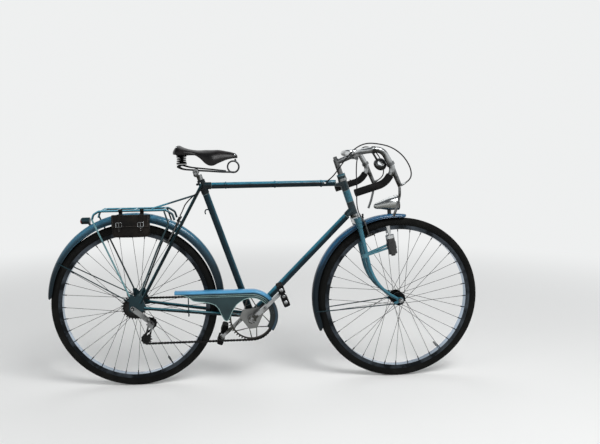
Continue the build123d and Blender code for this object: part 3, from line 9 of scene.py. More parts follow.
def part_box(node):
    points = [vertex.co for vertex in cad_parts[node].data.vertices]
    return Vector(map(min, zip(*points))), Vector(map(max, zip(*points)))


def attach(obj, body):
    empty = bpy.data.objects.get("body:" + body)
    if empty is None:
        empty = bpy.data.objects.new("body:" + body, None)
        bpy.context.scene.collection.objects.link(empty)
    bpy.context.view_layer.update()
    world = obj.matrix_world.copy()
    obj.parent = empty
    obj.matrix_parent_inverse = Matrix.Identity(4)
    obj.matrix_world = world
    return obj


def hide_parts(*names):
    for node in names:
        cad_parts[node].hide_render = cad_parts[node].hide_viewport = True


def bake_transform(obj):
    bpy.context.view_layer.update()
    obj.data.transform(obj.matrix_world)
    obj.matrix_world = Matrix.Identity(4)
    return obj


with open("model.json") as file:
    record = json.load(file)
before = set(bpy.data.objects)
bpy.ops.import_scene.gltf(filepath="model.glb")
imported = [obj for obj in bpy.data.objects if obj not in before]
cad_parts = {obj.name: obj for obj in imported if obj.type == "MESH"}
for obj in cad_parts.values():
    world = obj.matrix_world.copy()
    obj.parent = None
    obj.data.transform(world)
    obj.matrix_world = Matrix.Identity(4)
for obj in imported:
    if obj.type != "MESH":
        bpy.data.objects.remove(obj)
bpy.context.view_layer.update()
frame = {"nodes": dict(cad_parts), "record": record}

camera = {
    "place": (0.102, -2.378, -0.057),
    "yaw": 3.16,             # degrees, to the right of straight across
    "pitch": 7.18,           # degrees, down
    "roll": 0.96,
    "lens": 33.9,            # on a sensor 36 mm wide
    "shift": (0.0683, 0.02),
}


def addCamera(size):
    # forward = (sin yaw * cos pitch, cos yaw * cos pitch, -sin pitch), with right and down rolled round it
    yaw, pitch, roll = (radians(size[key]) for key in ("yaw", "pitch", "roll"))
    forward = Vector((sin(yaw) * cos(pitch), cos(yaw) * cos(pitch), -sin(pitch)))
    right = Vector((cos(yaw), -sin(yaw), 0))
    down = forward.cross(right)
    rolledRight = right * cos(roll) + down * sin(roll)
    rolledDown = down * cos(roll) - right * sin(roll)
    lens = bpy.data.cameras.new("sideCamera")
    lens.lens = size["lens"]
    lens.sensor_width = 36
    lens.shift_x, lens.shift_y = size["shift"]
    view = bpy.data.objects.new("sideCamera", lens)
    turn = Matrix((rolledRight, -rolledDown, -forward)).transposed().to_4x4()
    view.matrix_world = Matrix.Translation(size["place"]) @ turn
    bpy.context.collection.objects.link(view)
    bpy.context.scene.camera = view


addCamera(camera)
print("camera placed")


class Wire:
    # an output socket that can be added, taken away and multiplied
    def __init__(self, paint, socket):
        self.paint = paint
        self.socket = socket

    def maths(self, operation, *values):
        return self.paint.node("ShaderNodeMath", {"operation": operation}, dict(enumerate(values)))

    def __add__(self, other):
        return self.maths("ADD", self, other)

    def __sub__(self, other):
        return self.maths("SUBTRACT", self, other)

    def __rsub__(self, other):
        return self.maths("SUBTRACT", other, self)

    def __mul__(self, other):
        return self.maths("MULTIPLY", self, other)

    def __abs__(self):
        return self.maths("ABSOLUTE", self)

    __radd__ = __add__
    __rmul__ = __mul__

    def clamp(self):
        return self.paint.node("ShaderNodeClamp", {}, {0: self})

    def rise(self, low, high):
        # 0 below low, 1 above high, smooth between
        values = {"Value": self, "From Min": low, "From Max": high}
        return self.paint.node("ShaderNodeMapRange", {"interpolation_type": "SMOOTHSTEP"}, values)


class Paint:
    # the nodes of a finish, or of the world
    def __init__(self, name, kind="materials", shader="Principled BSDF", **inputs):
        self.owner = getattr(bpy.data, kind).new(name)
        self.owner.use_nodes = True
        self.tree = self.owner.node_tree
        self.surface = self.tree.nodes[shader]
        self.set(**inputs)

    def put(self, socket, value):
        if isinstance(value, Wire):
            self.tree.links.new(value.socket, socket)
        elif socket.type == "RGBA" and len(value) == 3:
            socket.default_value = (*value, 1.0)
        else:
            socket.default_value = value

    def set(self, **inputs):
        for key, value in inputs.items():
            self.put(self.surface.inputs[key.replace("_", " ")], value)
        return self.owner

    def node(self, kind, settings=None, values=None, out=0):
        made = self.tree.nodes.new(kind)
        for key, value in (settings or {}).items():
            if key == "stops":
                for stop, (place, colour) in zip(made.color_ramp.elements, value):
                    stop.position = place
                    stop.color = (*colour, 1.0)
            else:
                setattr(made, key, value)
        for key, value in (values or {}).items():
            self.put(made.inputs[key], value)
        return Wire(self, made.outputs[out])

    def vector(self, operation, *values, out=0):
        return self.node("ShaderNodeVectorMath", {"operation": operation}, dict(enumerate(values)), out)

    def split(self, vector, axis):
        # one coordinate of a vector: 0, 1 or 2
        return self.node("ShaderNodeSeparateXYZ", {}, {0: vector}, axis)

    def facing(self, axis=2):
        # how far the surface looks along an axis, -1 to 1
        return self.split(self.node("ShaderNodeTexCoord", out="Normal"), axis)

    def place(self, scale=(1, 1, 1)):
        seat = self.node("ShaderNodeTexCoord", out="Object")
        return self.node("ShaderNodeMapping", {}, {"Vector": seat, "Scale": scale})

    def noise(self, place, scale, detail, rough=0.55):
        values = {"Vector": place, "Scale": scale, "Detail": detail, "Roughness": rough}
        return self.node("ShaderNodeTexNoise", {}, values)

    def mix(self, factor, first, second):
        return self.node("ShaderNodeMix", {"data_type": "RGBA"}, {0: factor, 6: first, 7: second}, 2)

    def bump(self, height, strength, distance):
        return self.node("ShaderNodeBump", {}, {"Height": height, "Strength": strength, "Distance": distance})

    def ball(self, spot, centre, radius, soft=0.0008):
        # 1 inside a ball, smooth over its edge, and the distance from its centre
        away = self.vector("DISTANCE", spot, centre, out=1)
        return (radius - away).rise(-soft, soft), away


# colours that more than one finish uses
bareSteel = (0.03, 0.028, 0.026)
brightPlate = (0.6, 0.6, 0.6)
darkBallColours = {"face": (0.006, 0.009, 0.01), "edge": (0.16, 0.22, 0.22)}
shadow = (0.004, 0.01, 0.014)
footBlack = (0.008, 0.009, 0.01)
dynamoColours = {"bracket": (0.03, 0.13, 0.17), "case": (0.004, 0.004, 0.004), "cap": (0.5, 0.51, 0.51)}
threadColours = ((0.05, 0.045, 0.04), (0.16, 0.14, 0.12))


def wornEnamel(name, colour, dark, chipped, underShadeDepth, unshadedFacing, darkBalls=(), plated=None, shadeRamp=None, coat=0.6):
    # stove enamel: painted shade on all that looks down, small chips, and darkened balls with a paler ring at
    # their edge, which on the frame are dark lugs with rubbed edges;
    # a ramp of painted shade is given as an axis and the two places between which it goes from dark to bright
    # along it
    paint = Paint(name, Coat_Roughness=0.1, Specular_IOR_Level=0.16)
    spot = paint.place()
    cloud = paint.noise(spot, 9, 6)
    grain = paint.noise(spot, 60, 5, 0.7)
    # painted shade: every surface that looks down is darkened, with roughness up and coat down
    underShade = (unshadedFacing - paint.facing() + (cloud - 0.5) * 0.4).rise(0.0, 0.6) * underShadeDepth
    chips = (paint.noise(spot, 38, 8, 0.75) + grain * 0.25).rise(0.78, 0.83) * chipped
    shade = paint.mix(cloud.rise(0.42, 0.75) * 0.5, colour, dark)
    shade = paint.mix(underShade, shade, tuple(0.1 * part for part in dark))
    if shadeRamp:
        # painted shade: darker towards one end along the given axis
        axis, low, high = shadeRamp
        shade = paint.mix((1 - paint.split(spot, axis).rise(low, high)) * 0.85, shade, shadow)
    # each ball is darkened with a paler ring at its edge: the frame's dark lugs, painted shade on the far
    # carrier leg, and a darker patch on the chain guard's nose
    for centre, radius in darkBalls:
        inside, away = paint.ball(spot, centre, radius)
        edge = (0.0011 - abs(away - radius)).rise(0, 0.0006)
        shade = paint.mix(inside * 0.9, shade, darkBallColours["face"])
        shade = paint.mix(edge * 0.7, shade, darkBallColours["edge"])
    shade = paint.mix(chips, shade, bareSteel)
    if plated:
        inside = paint.ball(spot, *plated)[0]
        shade = paint.mix(inside, shade, brightPlate)
        paint.set(Metallic=inside)
    return paint.set(
        Base_Color=shade,
        Roughness=0.24 + grain * 0.14 + underShade * 0.2 + chips * 0.2,
        Coat_Weight=(coat - underShade * 0.6 - chips * 0.4).clamp(),
        Normal=paint.bump(grain * 0.3 - chips, 0.2, 0.0003),
    )


def agedPlate(name, colour, tarnishAndShade, rough, spread, underShade=0.85, oily=None):
    # plated steel: dull cloudy stains, pitting, and a painted dark brownish reflection on what looks down;
    # oily is a ball's centre, its radius, and whether the oil is inside the ball or outside it
    paint = Paint(name, Metallic=1.0)
    spot = paint.place()
    cloud = paint.noise(spot, 14, 6)
    grain = paint.noise(spot, 160, 4, 0.7)
    # painted reflection: what looks down is darkened towards the tarnish colour
    under = (0.15 - paint.facing() + (cloud - 0.5) * 0.6).rise(-0.2, 0.5) * underShade
    stain = (cloud + grain * 0.3).rise(0.62, 0.8) * spread
    pits = paint.noise(spot, 330, 3, 0.8).rise(0.66, 0.72) * spread
    stainsAndShade = (stain + under + pits * 0.5).clamp()
    if oily:
        centre, radius, within = oily
        inside = paint.ball(spot, centre, radius, 0.002)[0]
        stainsAndShade = (stainsAndShade + (inside if within else 1 - inside) * 0.9).clamp()
    return paint.set(
        Base_Color=paint.mix(stainsAndShade, colour, tarnishAndShade),
        Roughness=(rough + grain * 0.1 + stain * 0.2 + under * 0.15 + pits * 0.2).clamp(),
        Normal=paint.bump(grain - pits, 0.12, 0.0002),
    )


def shadedRimPlate(name, bright, dark):
    # nickel: bright inside the hoop, with painted shade on both sides that takes them near black, and cloudy
    # stains
    paint = Paint(name, Metallic=1.0)
    spot = paint.place()
    across = paint.facing(1)
    # painted shade: the faces on both sides of the hoop
    side = (across * across).rise(0.02, 0.2)
    cloud = paint.noise(spot, 16, 6)
    grain = paint.noise(spot, 160, 4, 0.7)
    secondTone = (side * (0.75 + cloud * 0.4) + (cloud + grain * 0.3).rise(0.7, 0.85) * 0.4).clamp()
    return paint.set(
        Base_Color=paint.mix(secondTone, bright, dark),
        Roughness=0.14 + grain * 0.1 + secondTone * 0.2,
        Normal=paint.bump(grain, 0.12, 0.0002),
    )


def dynamoCase(name, foot, top):
    # black case with a bright cap at its top; all beyond the case's radius is bracket enamel
    paint = Paint(name, Coat_Weight=0.3)
    spot = paint.place()
    run = np.array(top) - foot
    length = float(np.linalg.norm(run))
    axis = tuple(run / length)
    seat = paint.vector("SUBTRACT", spot, foot)
    along = paint.vector("DOT_PRODUCT", seat, axis, out=1)
    away = paint.vector("LENGTH", paint.vector("CROSS_PRODUCT", seat, axis), out=1)
    grain = paint.noise(spot, 120, 5, 0.7)
    case = (0.0215 - away).rise(-0.0003, 0.0003)
    cap = along.rise(length - 0.0135, length - 0.0125) * case
    enamel = paint.mix(case, dynamoColours["bracket"], dynamoColours["case"])
    return paint.set(
        Base_Color=paint.mix(cap, enamel, dynamoColours["cap"]),
        Metallic=cap,
        Roughness=0.26 + grain * 0.2,
        Normal=paint.bump(grain, 0.15, 0.0003),
    )


def lampShell(name, footHeight):
    # bright plated shell with painted shade on what looks down and a few cloudy stains, and a black enamelled
    # foot
    paint = Paint(name)
    spot = paint.place()
    foot = (footHeight - paint.split(spot, 2)).rise(0.0, 0.001)
    cloud = paint.noise(spot, 24, 6)
    grain = paint.noise(spot, 200, 4, 0.7)
    # painted shade on the lower half of the shell, and cloudy stains
    stainsAndShade = ((0.45 - paint.facing()).rise(0.0, 0.8) * 0.85 + cloud.rise(0.6, 0.8) * 0.3).clamp()
    plate = paint.mix(stainsAndShade, (0.66, 0.68, 0.68), (0.09, 0.09, 0.075))
    return paint.set(
        Base_Color=paint.mix(foot, plate, footBlack),
        Metallic=1 - foot,
        Roughness=0.12 + grain * 0.1 + stainsAndShade * 0.2 + foot * 0.3,
        Normal=paint.bump(grain, 0.1, 0.0002),
    )


def mattRubber(name, colour, dust, dusty=0.6):
    # fine grained rubber with dust in clouds
    paint = Paint(name, Specular_IOR_Level=0.12)
    spot = paint.place()
    grain = paint.noise(spot, 420, 3, 0.7)
    return paint.set(
        Base_Color=paint.mix(paint.noise(spot, 22, 6).rise(0.45, 0.75) * dusty, colour, dust),
        Roughness=0.7 + grain * 0.25,
        Normal=paint.bump(grain, 0.3, 0.0004),
    )


def polishedLeather(name, colour, secondTone, coat, shine):
    # vegetable tanned hide: cell grain, polished crown, paler rubbed patches
    paint = Paint(name, Coat_Roughness=0.25, Specular_IOR_Level=0.1)
    spot = paint.place()
    cloud = paint.noise(spot, 16, 6)
    cells = paint.node("ShaderNodeTexVoronoi", {}, {"Vector": spot, "Scale": 520})
    grain = paint.noise(spot, 260, 4, 0.7)
    creases = paint.noise(paint.place((1, 0.25, 1)), 90, 5, 0.6).rise(0.55, 0.62)
    rubbed = cloud.rise(0.4, 0.72)
    return paint.set(
        Base_Color=paint.mix(rubbed, colour, secondTone),
        Roughness=(shine + cloud * 0.2 + creases * 0.08).clamp(),
        Coat_Weight=(coat - rubbed * coat * 0.5).clamp(),
        Normal=paint.bump(cells * 0.5 + grain * 0.5 - creases * 0.3, 0.3, 0.0004),
    )


def lampGlass(name, tint):
    # clear or tinted glass with a little dust in clouds
    paint = Paint(name, Transmission_Weight=1.0, IOR=1.45, Specular_IOR_Level=0.6)
    dust = paint.noise(paint.place(), 30, 6).rise(0.5, 0.8)
    return paint.set(
        Base_Color=paint.mix(dust * 0.3, tint, tuple(0.6 * part for part in tint)),
        Roughness=0.03 + dust * 0.25,
    )


def waxedThread(name):
    # pale strands twisted in bands
    paint = Paint(name, Roughness=0.6)
    twist = paint.node("ShaderNodeTexWave", {"wave_type": "BANDS"}, {"Vector": paint.place(), "Scale": 900})
    return paint.set(
        Base_Color=paint.mix(twist, *threadColours),
        Normal=paint.bump(twist, 0.4, 0.0003),
    )


# balls that a finish treats apart, each a centre and a radius
# the frame's dark lugs
darkBalls = [((0.593, 0, -0.148), 0.037), ((0.631, 0, -0.2615), 0.039), ((0.0, 0, -0.15), 0.04),
        ((0.194, 0, -0.708), 0.052)]
forkCrown = ((0.6545, 0, -0.318), 0.033)
# a darker patch over the chain guard's nose, with a paler ring at its edge
guardNose = [((0.303, -0.055, -0.704), 0.071)]
# painted shade: on the carrier legs, all beyond the machine's middle on the far side is darkened, with a
# paler line at its edge
farSide = [((-0.36, 2.0, -0.45), 1.975)]
chainWheel = ((0.194, -0.043, -0.708), 0.056)
lowerPulley = ((-0.2464, -0.048, -0.788), 0.036)
# enamel is given as its colour, its darker colour for mottling and for the painted shade, how much is
# chipped, how dark its painted shade on what looks down is, and how far up a surface has to look to stay out
# of that painted shade; plate as its colour, its darker colour for tarnish and painted reflection, roughness
# and stains;
# rubber as its colour and dust; leather as its colour, worn colour, coat and roughness
finishes = {finish.name: finish for finish in (
    wornEnamel("frameEnamel", (0.028, 0.17, 0.25), (0.011, 0.065, 0.1), 0.8, 0.97, 0.68, darkBalls),
    # painted shade: a darker, shaded copy of the frame enamel for the seat and chain stays
    wornEnamel("stayEnamel", (0.02, 0.11, 0.14), (0.006, 0.03, 0.04), 0.8, 0.97, 0.68, coat=0.4),
    # a copy of the frame enamel with much less painted shade, for the lit head tube and fork, with a plated
    # crown
    wornEnamel("frontEnamel", (0.035, 0.16, 0.22), (0.014, 0.07, 0.1), 0.8, 0.6, 0.3, darkBalls, forkCrown),
    # painted shade on the rear guard: darker towards the bottom
    wornEnamel(
        "guardEnamel", (0.05, 0.18, 0.28), (0.016, 0.065, 0.11), 0.7, 0.95, 0.55, shadeRamp=(2, -0.51, -0.26)
    ),
    # painted shade: a darker, shaded copy of the guard enamel for the front guard, darker still towards the
    # bottom
    wornEnamel(
        "frontGuardEnamel", (0.022, 0.1, 0.2), (0.008, 0.035, 0.08), 0.7, 0.96, 0.6, shadeRamp=(2, -0.62, -0.4)
    ),
    # lit and shaded copies of the chain guard's one enamel: the flange painted bright, the web painted near
    # black
    wornEnamel("guardFlangeEnamel", (0.08, 0.3, 0.52), (0.035, 0.15, 0.27), 0.5, 0.5, 0.1, guardNose),
    wornEnamel(
        "guardWebEnamel", (0.013, 0.038, 0.043), (0.004, 0.012, 0.014), 0.8, 0.4, 0.2, guardNose, coat=0.4
    ),
    # painted highlight: pale enamel for the chain guard's rolled edge and the beads along its swages
    wornEnamel("rubbedEdge", (0.3, 0.46, 0.44), (0.1, 0.17, 0.17), 0.6, 0.3, 0.1, guardNose),
    # painted shade on the carrier: darker towards its front end
    wornEnamel(
        "carrierEnamel", (0.07, 0.28, 0.38), (0.02, 0.08, 0.11), 0.9, 0.95, 0.35, shadeRamp=(0, -0.125, -0.165)
    ),
    wornEnamel("darkEnamel", (0.01, 0.03, 0.038), (0.005, 0.012, 0.015), 0.6, 0.9, 0.2, coat=0.2),
    # painted light: a paler, lit copy of the enamel for the carrier legs, with painted shade on the far side
    # and towards the front
    wornEnamel(
        "legEnamel", (0.12, 0.25, 0.27), (0.04, 0.1, 0.11), 0.8, 0.4, 0.1, farSide,
        shadeRamp=(0, -0.275, -0.305), coat=0.3,
    ),
    agedPlate("agedChrome", (0.58, 0.6, 0.61), (0.04, 0.04, 0.035), 0.14, 0.6),
    # painted shade: a darker, shaded copy of the aged chrome for the brakes, levers, stem, bell, lamp rim,
    # ferrules, valves and quill bolt
    agedPlate("darkChrome", (0.24, 0.25, 0.255), (0.025, 0.025, 0.023), 0.18, 0.8),
    shadedRimPlate("nickelRim", (0.42, 0.5, 0.6), (0.012, 0.014, 0.016)),
    agedPlate("darkSteel", (0.012, 0.013, 0.014), (0.005, 0.005, 0.005), 0.4, 0.8),
    agedPlate("wireSteel", (0.07, 0.075, 0.08), (0.015, 0.015, 0.015), 0.3, 0.8),
    agedPlate("oiledSteel", (0.22, 0.225, 0.22), (0.05, 0.048, 0.044), 0.3, 0.9, 0.6, (*chainWheel, False)),
    agedPlate("changerSteel", (0.34, 0.35, 0.35), (0.018, 0.018, 0.018), 0.2, 0.8, oily=(*lowerPulley, True)),
    agedPlate("chainSteel", (0.025, 0.025, 0.025), (0.008, 0.008, 0.007), 0.36, 0.8),
    agedPlate("sprocketSteel", (0.035, 0.035, 0.035), (0.01, 0.01, 0.01), 0.35, 0.8),
    agedPlate("polishedSteel", (0.48, 0.49, 0.5), (0.05, 0.05, 0.045), 0.16, 0.8),
    dynamoCase("dynamoCase", (0.796, -0.057, -0.446), (0.779, -0.057, -0.367)),
    lampShell("lampShell", -0.2635),
    mattRubber("tyreRubber", (0.003, 0.0032, 0.003), (0.01, 0.01, 0.009)),
    mattRubber("blackRubber", (0.004, 0.004, 0.0042), (0.014, 0.013, 0.013)),
    mattRubber("cableCover", (0.012, 0.012, 0.013), (0.03, 0.03, 0.03), 0.3),
    polishedLeather("darkLeather", (0.003, 0.0025, 0.0026), (0.012, 0.01, 0.01), 0.22, 0.3),
    polishedLeather("bagLeather", (0.0025, 0.002, 0.0018), (0.011, 0.009, 0.007), 0.08, 0.5),
    waxedThread("waxedThread"),
    lampGlass("lampGlass", (0.9, 0.92, 0.92)),
    lampGlass("redGlass", (0.55, 0.01, 0.01)),
)}
slotFinishes = {
    "frame_enamel": "frameEnamel", "chrome": "agedChrome", "nickel_rim": "nickelRim",
    "dark_steel": "darkSteel", "drive_steel": "oiledSteel", "silver_alloy": "changerSteel",
    "tyre_rubber": "tyreRubber", "black_rubber": "blackRubber", "cable_cover": "cableCover",
    "dark_leather": "darkLeather", "lamp_glass": "lampGlass",
}
# a node takes its slot's finish, apart from these
nodeFinishes = {
    "frontEnamel": ["head_tube", "fork"],
    "stayEnamel": ["seatstays", "chainstays"],
    "darkEnamel": ["dropouts", "front_mudguard_stays", "rear_mudguard_stays", "rear_lamp"],
    "carrierEnamel": ["carrier"],
    "legEnamel": ["carrier_legs"],
    "chainSteel": ["chain"],
    "sprocketSteel": ["freewheel", "derailleur_pulleys"],
    "darkChrome": ["front_brake", "rear_brake", "left_brake_lever", "right_brake_lever", "stem", "bell"],
    "polishedSteel": ["right_crank", "left_crank"],
    "lampShell": ["headlamp"],
    "dynamoCase": ["dynamo"],
}
finishOf = {part["node"]: slotFinishes[part["material_slot"]] for part in frame["record"]["subparts"]}
finishOf.update((node, finish) for finish, nodes in nodeFinishes.items() for node in nodes)
for node, finish in finishOf.items():
    mesh = frame["nodes"][node].data
    mesh.materials.clear()
    mesh.materials.append(finishes[finish])
print("finishes laid on the metalwork")


def gridFaces(rows, columns, rowsClosed, columnsClosed):
    # a quad between each four neighbours of a grid of rows by columns points
    row, column = np.meshgrid(
        np.arange(rows - (not rowsClosed)), np.arange(columns - (not columnsClosed)), indexing="ij"
    )
    row, column = row.ravel(), column.ravel()
    below, beside = (row + 1) % rows, (column + 1) % columns
    corners = [(row, column), (row, beside), (below, beside), (below, column)]
    return np.stack([down * columns + over for down, over in corners], axis=1)


def wholeTurn(steps):
    # even steps of a whole turn, in radians
    return np.linspace(0, 2 * pi, steps, endpoint=False)


def points(x, y, z):
    # one array of points from coordinates whose shapes fit together
    return np.stack(np.broadcast_arrays(x, y, z), axis=-1)


def hump(value, middle, width):
    # exp(-((value - middle) / width)^2), which is 1 at the middle
    return np.exp(-(((value - middle) / width) ** 2))


def signedPower(value, power):
    # |value|^power with the value's own sign
    return np.sign(value) * np.abs(value) ** power


def unit(vector):
    # each vector over its own length
    vector = np.asarray(vector, float)
    return vector / np.linalg.norm(vector, axis=-1, keepdims=True)


class Shape:
    # points and faces of one piece, to which grids, tubes and turned parts are added
    def __init__(self):
        self.points = []
        self.faces = []
        self.count = 0

    def grid(self, points, rowsClosed=False, columnsClosed=False, capped=False):
        rows, columns = points.shape[:2]
        start, end = self.count, self.count + rows * columns
        self.points.append(np.asarray(points, float).reshape(-1, 3))
        self.faces += (gridFaces(rows, columns, rowsClosed, columnsClosed) + start).tolist()
        if capped:
            self.faces += [list(range(start, start + columns))[::-1], list(range(end - columns, end))]
        self.count = end
        return self

    def tube(self, path, radius, sides=10, across=(0, 1, 0), closed=False):
        # ring of points at radius * (cos turn * normal + sin turn * binormal) round each point of a path
        path = np.asarray(path, float)
        tangent = unit(np.roll(path, -1, 0) - np.roll(path, 1, 0) if closed else np.gradient(path, axis=0))
        normal = unit(np.cross(tangent, across))[:, None]
        binormal = np.cross(tangent[:, None], normal)
        turn = wholeTurn(sides)[:, None]
        ring = np.cos(turn) * normal + np.sin(turn) * binormal
        return self.grid(path[:, None] + radius * ring, closed, True, not closed)

    def lathe(self, centre, axis, profile, sides=32):
        # each (along, radius) of a profile turned about an axis
        axis = unit(axis)
        side = unit(np.cross(axis, (0.31, 0.2, 0.93)))
        turn = wholeTurn(sides)[:, None]
        ring = np.cos(turn) * side + np.sin(turn) * np.cross(axis, side)
        along, radius = np.array(profile, float).T[..., None, None]
        return self.grid(centre + along * axis + radius * ring, False, True, True)

    def prism(self, outline, lift, thickness):
        # a flat outline given thickness along lift, both ends closed
        half = np.array(lift) * thickness / 2
        return self.grid(np.stack([outline - half, outline + half]), False, True, True)


def addMesh(name, mesh, finish, body, replaced):
    # a piece with its finish, the body it rides on, and the node it stands for, which is hidden
    mesh.materials.clear()
    mesh.materials.append(finishes[finish])
    piece = bpy.data.objects.new(name, mesh)
    bpy.context.collection.objects.link(piece)
    if body:
        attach(piece, body)
    if replaced:
        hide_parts(replaced)
    return piece


def addPiece(name, shape, finish, body, replaced=None, sharp=38, thickness=0):
    # sharp is the angle in degrees past which an edge shows, and thickness a wall grown inwards
    mesh = bpy.data.meshes.new(name)
    mesh.from_pydata(np.concatenate(shape.points).tolist(), [], shape.faces, shade_flat=False)
    work = bmesh.new()
    work.from_mesh(mesh)
    bmesh.ops.recalc_face_normals(work, faces=work.faces)
    work.to_mesh(mesh)
    work.free()
    mesh.set_sharp_from_angle(angle=radians(sharp))
    piece = addMesh(name, mesh, finish, body, replaced)
    if thickness:
        wall = piece.modifiers.new("wall", "SOLIDIFY")
        wall.thickness = thickness
        wall.offset = -1


def through(knots, places):
    # smooth curve through (place, value, ...) knots: cubic pieces with the slope of each knot's neighbours
    knots = np.asarray(knots, float)
    at, value = knots[:, 0], knots[:, 1:]
    slope = np.gradient(value, at, axis=0)
    part = np.clip(np.searchsorted(at, places, side="right") - 1, 0, len(at) - 2)
    run = (at[part + 1] - at[part])[:, None]
    t = (places - at[part])[:, None] / run
    return (
        (2 * t**3 - 3 * t**2 + 1) * value[part]
        + (t**3 - 2 * t**2 + t) * run * slope[part]
        + (3 * t**2 - 2 * t**3) * value[part + 1]
        + (t**3 - t**2) * run * slope[part + 1]
    )


def splinePath(knots, count):
    # smooth line through knots, evenly stepped along the straight runs between them
    knots = np.array(knots)
    gone = np.concatenate([[0], np.cumsum(np.linalg.norm(np.diff(knots, axis=0), axis=1))])
    return through(np.column_stack([gone, knots]), np.linspace(0, gone[-1], count))


joints = {joint["name"]: np.array(joint["pos_m"]) for joint in frame["record"]["behaviour"]["joints"]}
rearAxle, frontAxle = joints["rear_wheel_spin"], joints["front_wheel_spin"]
crankAxle = joints["crank_spin"]
tyre = {
    "middleRadius": 0.3315,
    "section": 0.0181,
    "ribHeight": 0.0007,
    "ribs": 5,
    "tread": (0.95, 0.12),                 # radians either side of the crown, and the tread's soft edge
    "beads": ((1.75, 0.06), (1.35, 0.04)),
    "steps": (288, 56),
}


def tyrePoints(centre, size):
    # ring of radius R with a round section, raised in ribs near the crown and in two beads on each wall:
    # section radius = r + rib * smooth step of |cos(ribs * turn)| while |turn| < tread
    around = wholeTurn(size["steps"][0])[:, None]
    turn = np.linspace(-pi, pi, size["steps"][1], endpoint=False)
    half, soft = size["tread"]
    tread = np.clip((half - np.abs(turn)) / soft, 0, 1)
    ribs = np.clip(np.abs(np.cos(turn * size["ribs"])) * 3 - 0.6, 0, 1)
    bead = sum(hump(np.abs(turn), *bead) for bead in size["beads"])
    section = size["section"] + size["ribHeight"] * (tread * ribs + 0.5 * bead)
    away = size["middleRadius"] + section * np.cos(turn)
    return centre + points(away * np.cos(around), section * np.sin(turn), away * np.sin(around))


for end, axle in (("rear", rearAxle), ("front", frontAxle)):
    shape = Shape().grid(tyrePoints(axle, tyre), True, True)
    addPiece(end + "Tyre", shape, "tyreRubber", end + "_wheel", end + "_tyre", sharp=60)
print("tyres made")

chain = {
    "pitch": 0.0127,
    "lineY": -0.043,
    "plateRadius": 0.0043,
    "waist": 0.0029,
    "plateThickness": 0.0011,
    "innerY": 0.0021,
    "outerY": 0.0034,
    "rollerRadius": 0.0038,
    "pinRadius": 0.0016,
    "ringTeeth": 48,
    "sprocketTeeth": 20,
    "pulleyTeeth": 10,
    "pulleyReach": 0.02215,      # from the pulleys' box to their centres
}


def beltPath(wheels, spacing):
    # pins at even steps along a belt round wheels, each a centre and a radius that is negative
    # where the belt turns the other way; it leaves a wheel at line + acos((r - next r) / distance)
    leaves = []
    for (centre, radius), (nextCentre, nextRadius) in zip(wheels, wheels[1:] + wheels[:1]):
        across, up = nextCentre - centre
        leaves.append(atan2(up, across) + acos((radius - nextRadius) / hypot(across, up)))
    arcs = []
    for number, (centre, radius) in enumerate(wheels):
        flip = 0 if radius > 0 else pi
        arrive, leave = leaves[number - 1] + flip, leaves[number] + flip
        turn = -((arrive - leave) % (2 * pi)) if radius > 0 else (leave - arrive) % (2 * pi)
        angles = arrive + np.linspace(0, turn, 64)
        arcs.append(np.column_stack([np.cos(angles), np.sin(angles)]) * abs(radius) + centre)
    path = np.concatenate(arcs + [arcs[0][:1]])
    gone = np.concatenate([[0], np.cumsum(np.linalg.norm(np.diff(path, axis=0), axis=1))])
    links = 2 * round(gone[-1] / spacing / 2)
    stops = np.linspace(0, gone[-1], links, endpoint=False)
    return np.column_stack([np.interp(stops, gone, path[:, axis]) for axis in (0, 1)])


def chainShape(size):
    # plates between neighbouring pins, each a round lobe at both pins drawn in to a waist, and rollers
    ring, sprocket, pulley = (
        size["pitch"] / (2 * sin(pi / size[teeth])) for teeth in ("ringTeeth", "sprocketTeeth", "pulleyTeeth")
    )
    low, high = (np.array(corner)[[0, 2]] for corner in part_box("derailleur_pulleys"))
    lower, upper = low + size["pulleyReach"], high - size["pulleyReach"]
    wheels = [(crankAxle[[0, 2]], ring), (lower, pulley), (upper, -pulley), (rearAxle[[0, 2]], sprocket)]
    pins = beltPath(wheels, size["pitch"])
    after = np.roll(pins, -1, 0)
    middle = (pins + after) / 2
    along = unit(after - pins)
    up = np.column_stack([-along[:, 1], along[:, 0]])
    lobe = np.radians(np.linspace(-105, 105, 7))
    half = size["pitch"] / 2
    right = np.column_stack([half + size["plateRadius"] * np.cos(lobe), size["plateRadius"] * np.sin(lobe)])
    outline = np.concatenate([right, [(0, size["waist"])], -right, [(0, -size["waist"])]])
    flat = middle[:, None] + outline[:, :1] * along[:, None] + outline[:, 1:] * up[:, None]
    shape = Shape()
    for first, off in ((0, size["outerY"]), (1, size["innerY"])):
        for y in (size["lineY"] - off, size["lineY"] + off):
            for plate in flat[first::2]:
                shape.prism(np.insert(plate, 1, y, axis=1), (0, 1, 0), size["plateThickness"])
    pinEnd = size["outerY"] + size["plateThickness"]
    rods = [(pinEnd, size["pinRadius"], 8), (size["innerY"], size["rollerRadius"], 10)]
    for x, z in pins:
        for reachY, radius, sides in rods:
            shape.lathe((x, size["lineY"], z), (0, 1, 0), [(-reachY, radius), (reachY, radius)], sides)
    return shape


addPiece("chainLinks", chainShape(chain), "chainSteel", "frame", "chain")
print("chain made")

